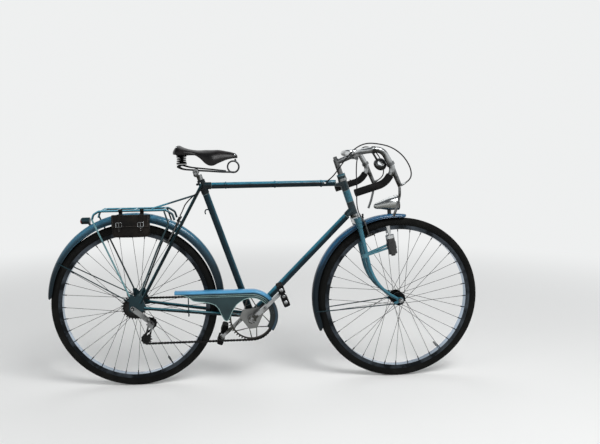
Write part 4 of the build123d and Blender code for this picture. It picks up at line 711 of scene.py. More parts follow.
# the saddle is a leather shell on a steel cantle, with two coil springs
saddle = {
    # ahead of the sitting point, half width, top, lower edge, squareness
    "stations": [
        (-0.1115, 0.078, 0.0, -0.018, 2.4),
        (-0.104, 0.095, 0.011, -0.02, 2.6),
        (-0.092, 0.103, 0.019, -0.021, 2.9),
        (-0.074, 0.107, 0.013, -0.021, 3.0),
        (-0.05, 0.105, 0.006, -0.02, 2.9),
        (-0.02, 0.097, 0.001, -0.024, 2.6),
        (0.0, 0.087, 0.0, -0.037, 2.4),
        (0.02, 0.074, 0.0, -0.057, 2.25),
        (0.04, 0.061, -0.001, -0.066, 2.15),
        (0.07, 0.045, -0.001, -0.055, 2.1),
        (0.104, 0.032, -0.007, -0.042, 2.1),
        (0.13, 0.024, -0.013, -0.037, 2.1),
        (0.143, 0.017, -0.019, -0.036, 2.1),
        (0.1485, 0.009, -0.026, -0.036, 2.1),
    ],
    "steps": (90, 61),
    "dip": (0.003, -0.035, 0.045, 0.5),      # its depth, its place, its length and its turn
    "leather": 0.0042,
}
cantle = {
    "x": -0.06, "depth": 0.044, "half": 0.094, "turn": 1.35,     # its curve round the back
    "inner": 0.86, "z": -0.0175, "height": 0.0022,
    "pad": (0.0165, 0.0018),     # radius and height of the plates that the springs stand under
    "stud": 0.004,
}
rivets = {
    "x": -0.099, "y": (-0.078, -0.042, 0.0, 0.042, 0.078), "radius": 0.0042,
    "noseX": 0.1375, "noseRadius": 0.0034, "noseShare": 0.72, "noseDrop": 0.0068,
    "dome": ((0.0, 1.0), (0.25, 0.92), (0.42, 0.6), (0.5, 0.0001)),
}
spring = {
    "x": -0.083, "y": 0.06, "low": -0.057, "high": -0.0203, "turns": 4.5, "radius": 0.0148, "waist": 0.0018,
    "wire": 0.0024, "steps": 220,
}


def saddlePoints(size):
    # across = w * sin(turn)^(2/n), up = edge + (top - edge) * cos(turn)^(2/n), along the stations
    rows, columns = size["steps"]
    knots = np.array(size["stations"])
    share = (0.5 - 0.5 * np.cos(pi * np.linspace(0, 1, rows))) ** 0.92
    x = knots[0, 0] + (knots[-1, 0] - knots[0, 0]) * share
    halfWidth, top, edge, square = through(knots, x).T[..., None]
    x = x[:, None]
    turn = np.linspace(-pi / 2, pi / 2, columns)
    rise = np.clip(np.cos(turn), 0, 1) ** (2 / square)
    depth, place, length, spread = size["dip"]
    dip = depth * hump(x, place, length) * hump(turn, 0, spread)
    return points(x, halfWidth * signedPower(np.sin(turn), 2 / square), edge + (top - edge) * rise - dip)


def cantleShape(size):
    # steel band inside the back edge: x = depth * cos(turn)^0.7 back, y = half * sin(turn)^0.8,
    # with the plates and studs that the springs stand under
    turn = np.linspace(-size["turn"], size["turn"], 40)
    back, across = size["depth"] * np.cos(turn) ** 0.7, size["half"] * signedPower(np.sin(turn), 0.8)
    outer = points(size["x"] - back, across, size["z"])
    inner = outer * (size["inner"], size["inner"], 1) - (0.002, 0, 0)
    fall = (0, 0, size["height"])
    shape = Shape().grid(np.stack([outer, inner, inner - fall, outer - fall], axis=1), False, True, True)
    radius, height = size["pad"]
    for side in (-1, 1):
        top = (spring["x"], side * spring["y"], size["z"] - size["height"])
        shape.lathe(top, (0, 0, 1), [(0, radius), (height, radius)], 24)
        shape.lathe(top, (0, 0, 1), [(-size["stud"], size["stud"]), (0.0, size["stud"])], 12)
    return shape


def rivetShape(size, stations):
    # domed heads along the cantle and at the nose, on the leather's own curve
    shape = Shape()
    halfWidth, top, edge, square = through(stations, np.array([size["x"]]))[0]
    for y in size["y"]:
        lean = min(abs(y) / halfWidth, 0.999)
        up = edge + (top - edge) * (1 - lean**square) ** (1 / square)
        head = np.array(size["dome"]) * size["radius"]
        shape.lathe((size["x"], y, up - 0.0004), (-0.62, y * 2.2, 0.75), head, 16)
    halfWidth, top, edge, square = through(stations, np.array([size["noseX"]]))[0]
    for side in (-1, 1):
        place = (size["noseX"], side * halfWidth * size["noseShare"], top - size["noseDrop"])
        shape.lathe(place, (0.35, side * 0.8, 0.55), np.array(size["dome"]) * size["noseRadius"], 14)
    return shape


def springShape(size):
    # helix: radius * (cos turn, sin turn), rising evenly, its ends ground flat
    shape = Shape()
    turn = np.linspace(0, 2 * pi * size["turns"], size["steps"])
    share = np.linspace(0, 1, size["steps"])
    climb = size["high"] - size["low"] - 2 * size["wire"]
    up = size["low"] + size["wire"] + climb * np.clip((share - 0.08) / 0.84, 0, 1)
    radius = size["radius"] - size["waist"] * np.sin(pi * share) ** 2
    for side in (-1, 1):
        x, y = size["x"] + radius * np.cos(side * turn), side * size["y"] + radius * np.sin(side * turn)
        shape.tube(points(x, y, up), size["wire"], across=(0, 0, 1))
    return shape


hide = Shape().grid(saddlePoints(saddle))
addPiece(
    "saddleLeather", hide, "darkLeather", "frame", "saddle_cover",
    sharp=70, thickness=saddle["leather"],
)
addPiece("saddleSprings", springShape(spring), "darkSteel", "frame", "saddle_springs")
addPiece("saddleCantle", cantleShape(cantle), "darkSteel", "frame")
addPiece("saddleRivets", rivetShape(rivets, saddle["stations"]), "agedChrome", "frame")
print("saddle made")

bagLow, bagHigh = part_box("tool_bag")
bag = {
    "middle": ((bagLow[0] + bagHigh[0]) / 2, bagLow[1] + 0.019, bagLow[2] + 0.0455),
    "half": (0.0745, 0.0175, 0.0435),
    "square": 5.0,
    "belly": (0.0022, -0.015, 0.022),  # out at the front, its height and its spread
    "sag": 0.0016,
    "corner": 0.01,
    "backDrop": 0.03,
    "flapDrop": 0.049,
    "flapOff": 0.0026,
    "strapDrop": 0.068,
    "strapOff": 0.0048,
    "strapPlaces": (0.03, 0.116),      # from the bag's rear end
    "strapHalf": 0.0075,
    "leather": 0.0022,
    "strap": 0.00176,
    "railY": -0.06,
    "railRise": 0.0605,                # rail's middle above the bag's middle
    "railLoop": 0.0068,
    "welt": (0.0035, 0.0014),          # in from the edge, radius
}
buckle = {
    "half": (0.0115, 0.009), "wire": 0.0014, "bow": 0.0006, "drop": 0.035, "off": 0.0078,
    "prong": 0.0011, "prongHalf": 0.0095, "prongOff": 0.0008,
    "holes": (0.016, 0.024), "hole": 0.0014,     # down from the buckle, radius
}
stitches = {
    "half": (0.0014, 0.0005), "step": 0.0042, "off": 0.0038,
    "start": 0.006, "ends": (0.004, 0.145), "margin": 0.004,
}
bagEnd = bag["middle"][0] - bag["half"][0]


def bagBodyPoints(size):
    # superellipse section |y/b|^n + |z/c|^n = 1 carried along x, its size falling at both ends,
    # with the front bellied out low down
    turn = wholeTurn(96)
    x = signedPower(np.sin(np.linspace(-1, 1, 61)[:, None] * pi / 2), 0.72)
    shrink = (1 - 0.985 * np.abs(x) ** 14) ** (1 / 6)
    y = size["half"][1] * shrink * signedPower(np.cos(turn), 2 / size["square"])
    z = size["half"][2] * shrink * signedPower(np.sin(turn), 2 / size["square"])
    out, height, spread = size["belly"]
    slack = np.cos(x * pi / 2)
    y = y - out * hump(z, height, spread) * slack * (y < 0)
    return size["middle"] + points(size["half"][0] * x, y, z - size["sag"] * slack * (z < 0))


def bagWrap(size, drop, off):
    # the line over the bag's top, as (y, z) from its middle: down the back, over two rounded corners,
    # and down the front, which hangs on the bag's belly
    halfY, halfZ, corner = size["half"][1] + off, size["half"][2] + off, size["corner"]
    turn = np.linspace(0, pi / 2, 9)
    sweep, lift = corner * np.cos(turn), corner * np.sin(turn)
    back = [(halfY, halfZ - size["backDrop"]), (halfY, halfZ - corner * 1.6)]
    over = np.column_stack([halfY - corner + sweep, halfZ - corner + lift])
    down = np.column_stack([-halfY + corner - lift, halfZ - corner + sweep])
    low = np.linspace(corner * 1.6, drop, 9)
    out, height, spread = size["belly"]
    front = np.column_stack([-halfY - out * hump(halfZ - low, height, spread), halfZ - low])
    return np.concatenate([back, over, down, front])


def bagSheet(size, drop, off, low, high, columns, curl=0.0):
    # the wrap's line carried along the bag from low to high, with its front corners curled
    wrapY, wrapZ = bagWrap(size, drop, off).T
    x = np.linspace(low, high, columns)[:, None]
    edge = np.abs(2 * (x - low) / (high - low) - 1) ** 8
    return (0, *size["middle"][1:]) + points(bagEnd + x, wrapY + curl * edge * (wrapY < 0), wrapZ)


def strapShape(size):
    # straps down the flap, each with a loop up round the carrier's rail
    shape = Shape()
    turn = np.linspace(-0.5, 2 * pi - 0.9, 40)
    reach, middleZ = size["railLoop"], size["middle"][2]
    loopY = size["railY"] + reach * np.cos(turn)
    loop = np.column_stack([loopY, middleZ + size["railRise"] + reach * np.sin(turn)])
    foot = [(size["railY"] - 0.004, middleZ + size["half"][2] + 0.001)]
    loopY, loopZ = np.concatenate([foot, loop[::-1], foot]).T
    for place in size["strapPlaces"]:
        low, high = place - size["strapHalf"], place + size["strapHalf"]
        shape.grid(bagSheet(size, size["strapDrop"], size["strapOff"], low, high, 5))
        shape.grid(points(bagEnd + np.linspace(low, high, 5)[:, None], loopY, loopZ))
    return shape


def buckleShape(size):
    # rounded square frame of wire |x/a|^5 + |z/b|^5 = 1, with a prong across it and two holes below
    shape = Shape()
    turn, prong = wholeTurn(48), np.linspace(-1, 1, 12)
    across, up = (half * signedPower(part(turn), 0.4) for half, part in zip(size["half"], (np.cos, np.sin)))
    y = bag["middle"][1] - bag["half"][1] - size["off"]
    z = bag["middle"][2] + bag["half"][2] - size["drop"]
    for place in bag["strapPlaces"]:
        x = bagEnd + place
        shape.tube(points(x + across, y + size["bow"] * np.cos(2 * turn), z + up), size["wire"], closed=True)
        line = points(x, y - size["prongOff"] * (1 + prong), z + size["prongHalf"] * prong)
        shape.tube(line, size["prong"], 8, across=(1, 0, 0))
        for drop in size["holes"]:
            eyelet = [(0, size["hole"]), (0.0008, size["hole"])]
            shape.lathe((x, y + 0.0008, z - drop), (0, -1, 0), eyelet, 10)
    return shape


def stitchShape(size):
    # short raised stitches along the flap's edge and down its ends
    shape = Shape()
    halfLength, halfWidth = size["half"]
    z = bag["middle"][2] + bag["half"][2] + bag["flapOff"] - bag["flapDrop"] + size["margin"]
    y = bag["middle"][1] + bagWrap(bag, bag["flapDrop"], size["off"])[-1, 0]
    ball = [(-halfLength * cos(turn), halfWidth * sin(turn) + 0.00005) for turn in np.linspace(0, pi, 6)]
    for x in np.arange(size["start"], size["ends"][1], size["step"]):
        shape.lathe((bagEnd + x, y, z), (1, 0, 0.12), ball, 6)
    for x in size["ends"]:
        for low in np.arange(size["start"], bag["flapDrop"] - size["margin"], size["step"]):
            shape.lathe((bagEnd + x, y + 0.0006, z + low - 0.002), (0.12, 0, 1), ball, 6)
    return shape


def weltShape(size):
    # a round cord on |x/a|^n + |z/c|^n = 1, along the front edge of the body
    turn = wholeTurn(120)
    inset, radius = size["welt"]
    halfX, halfY, halfZ = size["half"]
    x, z = (halfX - inset) * signedPower(np.cos(turn), 0.3), (halfZ - inset) * signedPower(np.sin(turn), 0.3)
    return Shape().tube(size["middle"] + points(x, 0.0008 - halfY, z), radius, 8, closed=True)


flap = Shape().grid(bagSheet(bag, bag["flapDrop"], bag["flapOff"], 0.0, 2 * bag["half"][0], 40, 0.0006))
body = Shape().grid(bagBodyPoints(bag), False, True, True)
addPiece("bagBody", body, "bagLeather", "frame", "tool_bag", sharp=60)
for name, sheet, wall in (("bagFlap", flap, bag["leather"]), ("bagStraps", strapShape(bag), bag["strap"])):
    addPiece(name, sheet, "bagLeather", "frame", sharp=60, thickness=wall)
addPiece("bagBuckles", buckleShape(buckle), "agedChrome", "frame")
addPiece("bagStitches", stitchShape(stitches), "waxedThread", "frame")
addPiece("bagWelt", weltShape(bag), "bagLeather", "frame")
print("tool bag made")

mudguards = {
    # centre from the axle, radius, start and end in degrees from straight ahead, half width,
    # the sides' depth at the start, the middle and the end, and how far each end is rounded
    "rear": {
        "off": (0.01, 0, 0.025), "radius": 0.37, "arc": (178, -12), "half": 0.025,
        "depth": (0.019, 0.034, 0.025), "ends": (0.1, 0.05), "finish": "guardEnamel",
    },
    "front": {
        "off": (-0.018, 0, 0.012), "radius": 0.356, "arc": (205, 82), "half": 0.025,
        "depth": (0.021, 0.02, 0.0125), "ends": (0.14, 0.04), "finish": "frontGuardEnamel",
    },
}
guardSteel = {"thickness": 0.0013, "bead": 0.0017, "steps": (200, 31)}


def guardShape(centre, size):
    # section: y = b * sin(turn)^0.85, drop = depth * (1 - cos(turn)^0.75), carried round the arc, its
    # depth on a parabola through three values and falling away near both ends, which rounds them
    start, end = np.radians(size["arc"])
    around = np.linspace(start, end, guardSteel["steps"][0])[:, None]
    turn = np.linspace(-pi / 2, pi / 2, guardSteel["steps"][1])
    gone = np.minimum(np.abs(around - start) / size["ends"][0], np.abs(around - end) / size["ends"][1])
    narrow = np.sqrt(np.clip(1 - (1 - np.clip(gone, 0, 1)) ** 2, 0.02, 1))
    share = (around - start) / (end - start)
    first, middle, last = size["depth"]
    depth = first * (1 - share) * (1 - 2 * share) + last * share * (2 * share - 1)
    depth = depth + middle * 4 * share * (1 - share)
    skins = []
    for inset in (0, guardSteel["thickness"]):
        y = (size["half"] * (0.3 + 0.7 * narrow) - inset) * signedPower(np.sin(turn), 0.85)
        drop = depth * (0.15 + 0.85 * narrow) * (1 - np.clip(np.cos(turn), 0, 1) ** 0.75)
        radius = size["radius"] - inset - drop + inset * drop / depth
        skins.append(centre + points(radius * np.cos(around), y, radius * np.sin(around)))
    outer, inner = skins
    shape = Shape().grid(np.concatenate([outer, inner[:, ::-1]], axis=1), False, True, True)
    for column in (0, -1):
        shape.tube((outer[:, column] + inner[:, column]) / 2, guardSteel["bead"], 8)
    return shape


for end, axle, body in (("rear", rearAxle, "frame"), ("front", frontAxle, "steering")):
    blade = mudguards[end]
    shape = guardShape(axle + blade["off"], blade)
    addPiece(end + "Guard", shape, blade["finish"], body, end + "_mudguard")
print("mudguards made")

# the chain guard is a rolled flange over a pressed web
chainGuard = {
    "rear": -0.127,
    "arcCentre": (crankAxle[0] - 0.002, crankAxle[2] + 0.009),
    "arcRadius": 0.114,
    "noseTurn": -35,
    "plane": -0.06,
    # across, and down from the top line
    "flange": [
        (-0.034, 0.0), (-0.034, 0.0012), (-0.0555, 0.0014), (-0.0585, 0.003), (-0.06, 0.0135),
        (-0.0622, 0.0125), (-0.064, 0.0095), (-0.0636, 0.005), (-0.06, 0.0012), (-0.0555, 0.0),
    ],
    # along from the crank axle, web's depth below the top line
    "web": [
        (-0.3215, 0.0135), (-0.285, 0.0165), (-0.262, 0.026), (-0.247, 0.0385), (-0.225, 0.0445),
        (-0.195, 0.0485), (-0.168, 0.0545), (-0.15, 0.064), (-0.137, 0.081), (-0.128, 0.102),
        (-0.119, 0.121), (-0.107, 0.1305), (-0.096, 0.122), (-0.088, 0.104), (-0.079, 0.085),
        (-0.066, 0.0655), (-0.05, 0.0515), (-0.03, 0.0405), (-0.012, 0.0355), (-0.002, 0.0345),
    ],
    "webTop": 0.011,
    "bandWidth": 0.0345,
    "thickness": 0.0012,
    "swages": (0.0195, 0.0262),   # down from the top line
    "swageHeight": 0.0011,
    "swageWidth": 0.0011,
    "crest": 0.0007,
    "bead": 0.0013,
}
# the arm to the seat tube, the strap down to the chain stay and its clip: start, run, radius, sides
guardHolders = [
    ((0.148, -0.0145, -0.006), (0, -0.04, 0), 0.003, 10),
    ((-0.07, -0.0585, -0.008), (0, 0, -0.098), 0.0024, 8),
    ((-0.07, -0.0585, -0.104), (0, 0.022, 0), 0.003, 8),
]


def guardPath(size, count):
    # points on the top line and then round the nose, the direction down into the web, the web's depth
    # there, and the way gone
    straight = size["arcCentre"][0] - size["rear"]
    gone = np.linspace(0, straight + size["arcRadius"] * radians(90 - size["noseTurn"]), count)
    turn = np.maximum(gone - straight, 0) / size["arcRadius"]
    outward = np.column_stack([np.sin(turn), np.cos(turn)])
    centreX = np.minimum(size["rear"] + gone, size["arcCentre"][0])
    point = np.column_stack([centreX, 0 * gone + size["arcCentre"][1]]) + outward * size["arcRadius"]
    knots = np.array(size["web"])
    depth = through(knots, np.clip(point[:, 0] - crankAxle[0], knots[0, 0], knots[-1, 0]))[:, 0]
    return point, -outward, np.where(gone > straight, size["bandWidth"], depth), gone


def carried(point, down, across, depth):
    # a point of the guard from its place along the path, across the machine and down
    x, z = np.moveaxis(point + down * depth[..., None], -1, 0)
    return points(x, across, z)


def flangeShape(size):
    # the flange's section carried along the path
    point, down = guardPath(size, 180)[:2]
    across, depth = np.array(size["flange"]).T
    return Shape().grid(carried(point[:, None], down[:, None], across, depth[None]), False, True, True)


def webShape(size):
    # depth runs from the flange to the lower edge; the swages stand out as rounded ridges
    point, down, low = guardPath(size, 300)[:3]
    low = low[:, None]
    depth = size["webTop"] + (low - size["webTop"]) * np.linspace(0, 1, 60)
    ridge = sum(hump(depth, swage, size["swageWidth"]) for swage in size["swages"])
    ridge = ridge * np.clip((low - size["swages"][-1]) / 0.008, 0, 1)
    front = carried(point[:, None], down[:, None], size["plane"] - size["swageHeight"] * ridge, depth)
    back = front + (0, size["thickness"], 0)
    return Shape().grid(np.concatenate([front, back[:, ::-1]], axis=1), False, True, True)


def edgeShape(size):
    # a rolled wire round the web's lower edge
    point, down, low = guardPath(size, 300)[:3]
    return Shape().tube(carried(point, down, size["plane"] - 0.0002, low - size["bead"] / 2), size["bead"], 8)


def swageShape(size):
    # pale beads along the two swages' crests, painted highlights
    point, down, low, gone = guardPath(size, 300)
    shape = Shape()
    for swage in size["swages"]:
        kept = (low > swage + 0.006) & (gone < gone[-1] * 0.86)
        across = size["plane"] - size["swageHeight"] * 0.8
        shape.tube(carried(point[kept], down[kept], across, 0 * gone[kept] + swage), size["crest"], 6)
    return shape


def holderShape(size):
    # straight rods from their starts, given below the guard's top line
    shape = Shape()
    lineZ = size["arcCentre"][1] + size["arcRadius"]
    for (x, y, z), run, radius, sides in guardHolders:
        rod = (x, y, lineZ + z) + np.linspace(0, 1, 9)[:, None] * run
        shape.tube(rod, radius, sides, across=(1, 0, 0))
    return shape


# the web carries painted shade and the flange painted light
addPiece("guardWeb", webShape(chainGuard), "guardWebEnamel", "frame", "chain_guard", sharp=55)
addPiece("guardFlange", flangeShape(chainGuard), "guardFlangeEnamel", "frame", sharp=60)
# the rolled edge and the swage beads carry pale painted highlights
addPiece("guardEdge", edgeShape(chainGuard), "rubbedEdge", "frame")
addPiece("guardSwages", swageShape(chainGuard), "rubbedEdge", "frame")
addPiece("guardHolders", holderShape(chainGuard), "darkEnamel", "frame")
print("chain guard made")

# the saddle's wires are looped once under the nose
rail = {
    "wire": 0.0034,
    "ringCentre": (0.13, -0.0715),
    "ringRadius": 0.0235,
    "ringY": (0.019, 0.0095),
    # ahead, from the middle, up
    "lower": [
        (-0.083, 0.06, -0.0608), (-0.097, 0.046, -0.068), (-0.088, 0.036, -0.074),
        (-0.03, 0.022, -0.083), (0.03, 0.0195, -0.088), (0.085, 0.019, -0.0925),
    ],
    "upper": [
        (-0.076, 0.048, -0.0625), (-0.05, 0.03, -0.07), (-0.005, 0.02, -0.076),
        (0.045, 0.019, -0.0815), (0.1, 0.0188, -0.088),
    ],
    "nose": (0.139, 0, -0.0415),
    "noseHalf": 0.011,
    "barZ": -0.0625,
    "padZ": -0.0606,
}
# the clamp on the post's head; each turned part is a height, its profile and its sides
clamp = {
    "post": (-0.0255, 0, -0.1015),
    "drum": [(-0.017, 0.0098), (-0.016, 0.0105), (0.016, 0.0105), (0.017, 0.0098)],
    "ends": [
        (0.012, [(0.0135, 0.0118), (0.015, 0.0128), (0.024, 0.0128), (0.0255, 0.0115)], 18),   # cheek
        (0.004, [(0.0255, 0.0068), (0.031, 0.0066)], 6),                                        # nut
        (0.004, [(0.031, 0.0036), (0.035, 0.003)], 12),                                       # bolt
    ],
}


def railShape(size):
    # lower wire, then one and a quarter turns of a ring whose side moves inwards, up to the nose
    shape = Shape()
    turn = np.linspace(-pi / 2, 2 * pi + pi / 3, 90)
    ringX, ringZ = size["ringCentre"]
    ahead, up = size["ringRadius"] * np.cos(turn), size["ringRadius"] * np.sin(turn)
    ring = points(ringX + ahead, np.linspace(*size["ringY"], 90), ringZ + up)
    nose = np.array(size["nose"])
    lower = np.concatenate([splinePath(size["lower"], 60), ring[3:], [nose + (0, size["ringY"][1], 0)]])
    for side in (-1, 1):
        shape.tube(lower * (1, side, 1), size["wire"], across=(0, 0.96, 0.28))
        shape.tube(splinePath(size["upper"], 50) * (1, side, 1), size["wire"] * 0.85, across=(0.1, 0.2, 1))
        pad = [(0, cantle["pad"][0]), (0.0026, cantle["pad"][0])]
        shape.lathe((spring["x"], side * spring["y"], size["padZ"]), (0, 0, 1), pad, 28)
    cross = (spring["x"], 0, size["barZ"])
    for centre, half, steps in ((cross, spring["y"], 21), (nose, size["noseHalf"], 9)):
        bar = np.linspace(-1, 1, steps)[:, None] * (0, half, 0) + centre
        shape.tube(bar, size["wire"], across=(0, 0, 1))
    return shape


def clampShape(size):
    # serrated drum, and on both sides a cheek round the wires, a nut and the bolt's end
    shape = Shape().lathe(size["post"], (0, 1, 0), size["drum"], 24)
    for side in (-1, 1):
        for height, profile, sides in size["ends"]:
            shape.lathe(np.array(size["post"]) + (0, 0, height), (0, side, 0), profile, sides)
    return shape


addPiece("saddleWires", railShape(rail), "wireSteel", "frame", "saddle_rails")
addPiece("saddleClamp", clampShape(clamp), "polishedSteel", "frame")
print("saddle wires made")

cables = {
    "radius": 0.0025,
    "steps": 8,
    "rearLoop": [
        (0.7887, -0.2, -0.1491), (0.8142, -0.2, -0.1361), (0.8242, -0.197, -0.1081),
        (0.8142, -0.188, -0.0701), (0.7892, -0.17, -0.0301), (0.7522, -0.145, -0.0011),
        (0.7122, -0.116, 0.0109), (0.6722, -0.088, 0.0159), (0.6342, -0.062, -0.0001),
        (0.6002, -0.041, -0.0401), (0.5682, -0.025, -0.0901), (0.5382, -0.0175, -0.1291),
        (0.508, -0.016, -0.1469),
    ],
    "rearRun": [
        (0.5065, -0.016, -0.147), (0.04, -0.016, -0.148), (-0.009, -0.04, -0.164), (-0.07, -0.038, -0.216),
        (-0.0839, -0.022, -0.2492), (-0.0963, -0.022, -0.2718),
    ],
    "frontRun": [
        (0.7887, 0.2, -0.1491), (0.8142, 0.2, -0.1361), (0.8242, 0.197, -0.1081), (0.8142, 0.188, -0.0701),
        (0.7892, 0.168, -0.0301), (0.7522, 0.14, -0.0011), (0.7122, 0.108, 0.0079),
        (0.6802, 0.074, -0.0101), (0.6622, 0.046, -0.0521), (0.6562, 0.03, -0.1041),
        (0.6582, 0.023, -0.1581), (0.6572, 0.0225, -0.2071), (0.6587, 0.022, -0.2551),
        (0.6685, 0.022, -0.2837),
    ],
    # a barrel in which the covering ends: along, radius
    "ferrule": [(-0.011, 0.004), (-0.009, 0.0046), (0.003, 0.0046), (0.0045, 0.0038), (0.01, 0.0036)],
    "clips": (0.097, 0.303, 0.499),
    "clipHalf": 0.0025,
    "clipRadii": (0.0172, 0.0152),
    "clipY": -0.0028,
}


def addCable(name, route, size, body, replaced):
    # round covering on one smooth line through the route's control points
    curve = bpy.data.curves.new(name, "CURVE")
    curve.dimensions = "3D"
    curve.bevel_depth = size["radius"]
    curve.bevel_resolution = 3
    curve.resolution_u = size["steps"]
    curve.use_fill_caps = True
    spline = curve.splines.new("NURBS")
    spline.points.add(len(route) - 1)
    spline.points.foreach_set("co", np.column_stack([route, np.ones(len(route))]).ravel())
    spline.order_u = 3
    spline.use_endpoint_u = True
    line = bpy.data.objects.new(name + "Line", curve)
    mesh = bpy.data.meshes.new_from_object(line)
    bpy.data.objects.remove(line)
    mesh.name = name
    mesh.polygons.foreach_set("use_smooth", np.ones(len(mesh.polygons), bool))
    return addMesh(name, mesh, "cableCover", body, replaced)


def clipShape(size):
    # oval bands that hold the rear cable against the top tube
    shape = Shape()
    low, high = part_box("top_tube")
    turn, (wide, tall) = wholeTurn(40), size["clipRadii"]
    ring = points(0, wide * np.cos(turn) + size["clipY"], (low[2] + high[2]) / 2 + tall * np.sin(turn))
    for x in size["clips"]:
        ends = [ring + (x + side * size["clipHalf"], 0, 0) for side in (-1, 1)]
        shape.grid(np.stack(ends), False, True)
    return shape


def ferruleShape(size, runs):
    # a barrel at each run's start, along its first straight
    shape = Shape()
    for run in runs:
        start, toward = np.array(size[run][:2])
        shape.lathe(start, toward - start, size["ferrule"], 14)
    return shape


rearLoop = addCable("rearCableLoop", cables["rearLoop"], cables, None, "rear_brake_cable_loop")
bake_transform(rearLoop)
addCable("rearCable", cables["rearRun"], cables, "frame", "rear_brake_cable")
addCable("frontCable", cables["frontRun"], cables, "steering", "front_brake_cable")
addPiece("cableClips", clipShape(cables), "frameEnamel", "frame", thickness=0.0008)
addPiece("leverFerrules", ferruleShape(cables, ["rearLoop", "frontRun"]), "darkChrome", "steering")
addPiece("tubeFerrule", ferruleShape(cables, ["rearRun"]), "darkChrome", "frame")
print("cables made")

lensLow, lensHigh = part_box("headlamp_lens")
lamp = {
    "centre": ((lensLow[0] + lensHigh[0]) / 2, 0, (lensLow[2] + lensHigh[2]) / 2),
    "axis": (0.9885, 0, 0.1513),
    "radius": 0.0272,
    "flutes": 13,
    "fluteDepth": 0.0007,
    "edge": 0.0015,
    "crown": 0.0045,
    "rim": (0.0008, 0.0302, 0.0029),     # ahead of the glass, radius, wire
    "rearDome": [(-0.004, 0.0125), (0.0, 0.0123), (0.003, 0.0105), (0.0052, 0.0065), (0.006, 0.0004)],
}
lampAxis = unit(lamp["axis"])
lampSide = np.array((0.0, 1.0, 0.0))
lampUp = np.cross(lampAxis, lampSide)


def lensShape(size):
    # crowned disc: out = crown * (1 - r^2) + flute * |sin(flutes * across)|, flat behind
    radial, turn = np.linspace(0.02, 1, 24)[:, None], wholeTurn(96)
    across, rise = radial * np.cos(turn), radial * np.sin(turn)
    flute = size["fluteDepth"] * np.abs(np.sin(across * size["flutes"])) * np.clip((1 - radial) * 8, 0, 1)
    out = (size["edge"] + size["crown"] * (1 - radial**2) + flute)[..., None] * lampAxis
    back = size["centre"] + size["radius"] * (across[..., None] * lampSide + rise[..., None] * lampUp)
    return Shape().grid(np.concatenate([back + out, back[::-1]]), False, True, True)


def rimShape(size):
    # rolled bezel round the glass
    ahead, radius, wire = size["rim"]
    turn = wholeTurn(72)[:, None]
    ring = size["centre"] + ahead * lampAxis + radius * (np.cos(turn) * lampSide + np.sin(turn) * lampUp)
    return Shape().tube(ring, wire, 12, across=lampAxis, closed=True)


rearLow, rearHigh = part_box("rear_lamp")
rearLens = Shape().lathe(
    (rearLow[0] + 0.0005, 0, (rearLow[2] + rearHigh[2]) / 2 + 0.001), (-1, 0, 0), lamp["rearDome"], 28
)
addPiece("lampLensGlass", lensShape(lamp), "lampGlass", "steering", "headlamp_lens", sharp=50)
addPiece("lampRim", rimShape(lamp), "darkChrome", "steering")
addPiece("rearLampLens", rearLens, "redGlass", "frame", sharp=60)
print("lamps made")

# small fittings; a profile is (along, radius) for each step of a turned part
fittings = {
    # washer, hexagon and axle end
    "nut": [
        ([(0, 0.0105), (0.0016, 0.0105)], 24),
        ([(0.0016, 0.0088), (0.0085, 0.0088), (0.0095, 0.0078)], 6),
        ([(0.0095, 0.005), (0.0135, 0.005), (0.0142, 0.004)], 16),
    ],
    "rearReach": 0.066,
    "frontReach": 0.0605,
    # lug and guard bolts: place, radius
    "bolts": [
        ((-0.0095, -0.017, -0.1365), 0.0042), ((0.6205, -0.0165, -0.1355), 0.0036),
        ((-0.1095, -0.027, -0.3), 0.0045), ((-0.137, -0.0725, -0.285), 0.0042),
    ],
    "peg": [(0.023, 0, -0.248), (0.011, 0, -0.25), (0.0075, 0, -0.258), (0.01, 0, -0.268)],
    "pegRadius": 0.0026,
    # valve stem with a knurled cap, straight in from the rim
    "valve": [
        (0, 0.0048), (0.003, 0.0048), (0.0032, 0.003), (0.022, 0.003), (0.0222, 0.0044), (0.04, 0.0044),
        (0.044, 0.0026), (0.0455, 0.0008),
    ],
    "valveRadius": 0.3085,
    "rearValve": -60,                        # degrees from straight ahead
    "frontValve": -51,
    # the block rods' ends, reach along the pedal, and the spindle's nut between them
    "pedalY": 0.152,
    "pedalTurn": 70,
    "pedalReach": 0.027,
    "pedalNut": [(0.0, 0.0072), (0.0035, 0.0072), (0.0045, 0.006)],
    # washer and hexagon bolt on top of the stem's quill
    "quillTop": (0.562039, 0, -0.050218),
    "quillAxis": (-0.325568, 0, 0.945519),
    "quill": [
        ([(-0.001, 0.0108), (0.002, 0.0108), (0.004, 0.0092)], 24),
        ([(0.003, 0.008), (0.0125, 0.008), (0.014, 0.0066)], 6),
    ],
}


def stacked(shape, start, axis, profiles):
    # several turned parts, one after another on one axis
    for profile, sides in profiles:
        shape.lathe(start, axis, profile, sides)
    return shape


def domeProfile(radius, height):
    # height * sin(turn) along, radius * cos(turn) wide
    return [(height * sin(turn), max(radius * cos(turn), 0.0002)) for turn in np.linspace(0, pi / 2, 6)]


def nutShape(size, axle, reach):
    # washers and hexagon nuts on both ends of an axle, reach from the middle
    shape = Shape()
    for side in (-1, 1):
        stacked(shape, (axle[0], side * reach, axle[2]), (0, side, 0), size["nut"])
    return shape


def valveShape(size, axle, degrees):
    # inward = -(cos turn, sin turn) from the rim at that turn
    inward = np.array((-cos(radians(degrees)), 0, -sin(radians(degrees))))
    return Shape().lathe(axle - inward * size["valveRadius"], inward, size["valve"], 14)


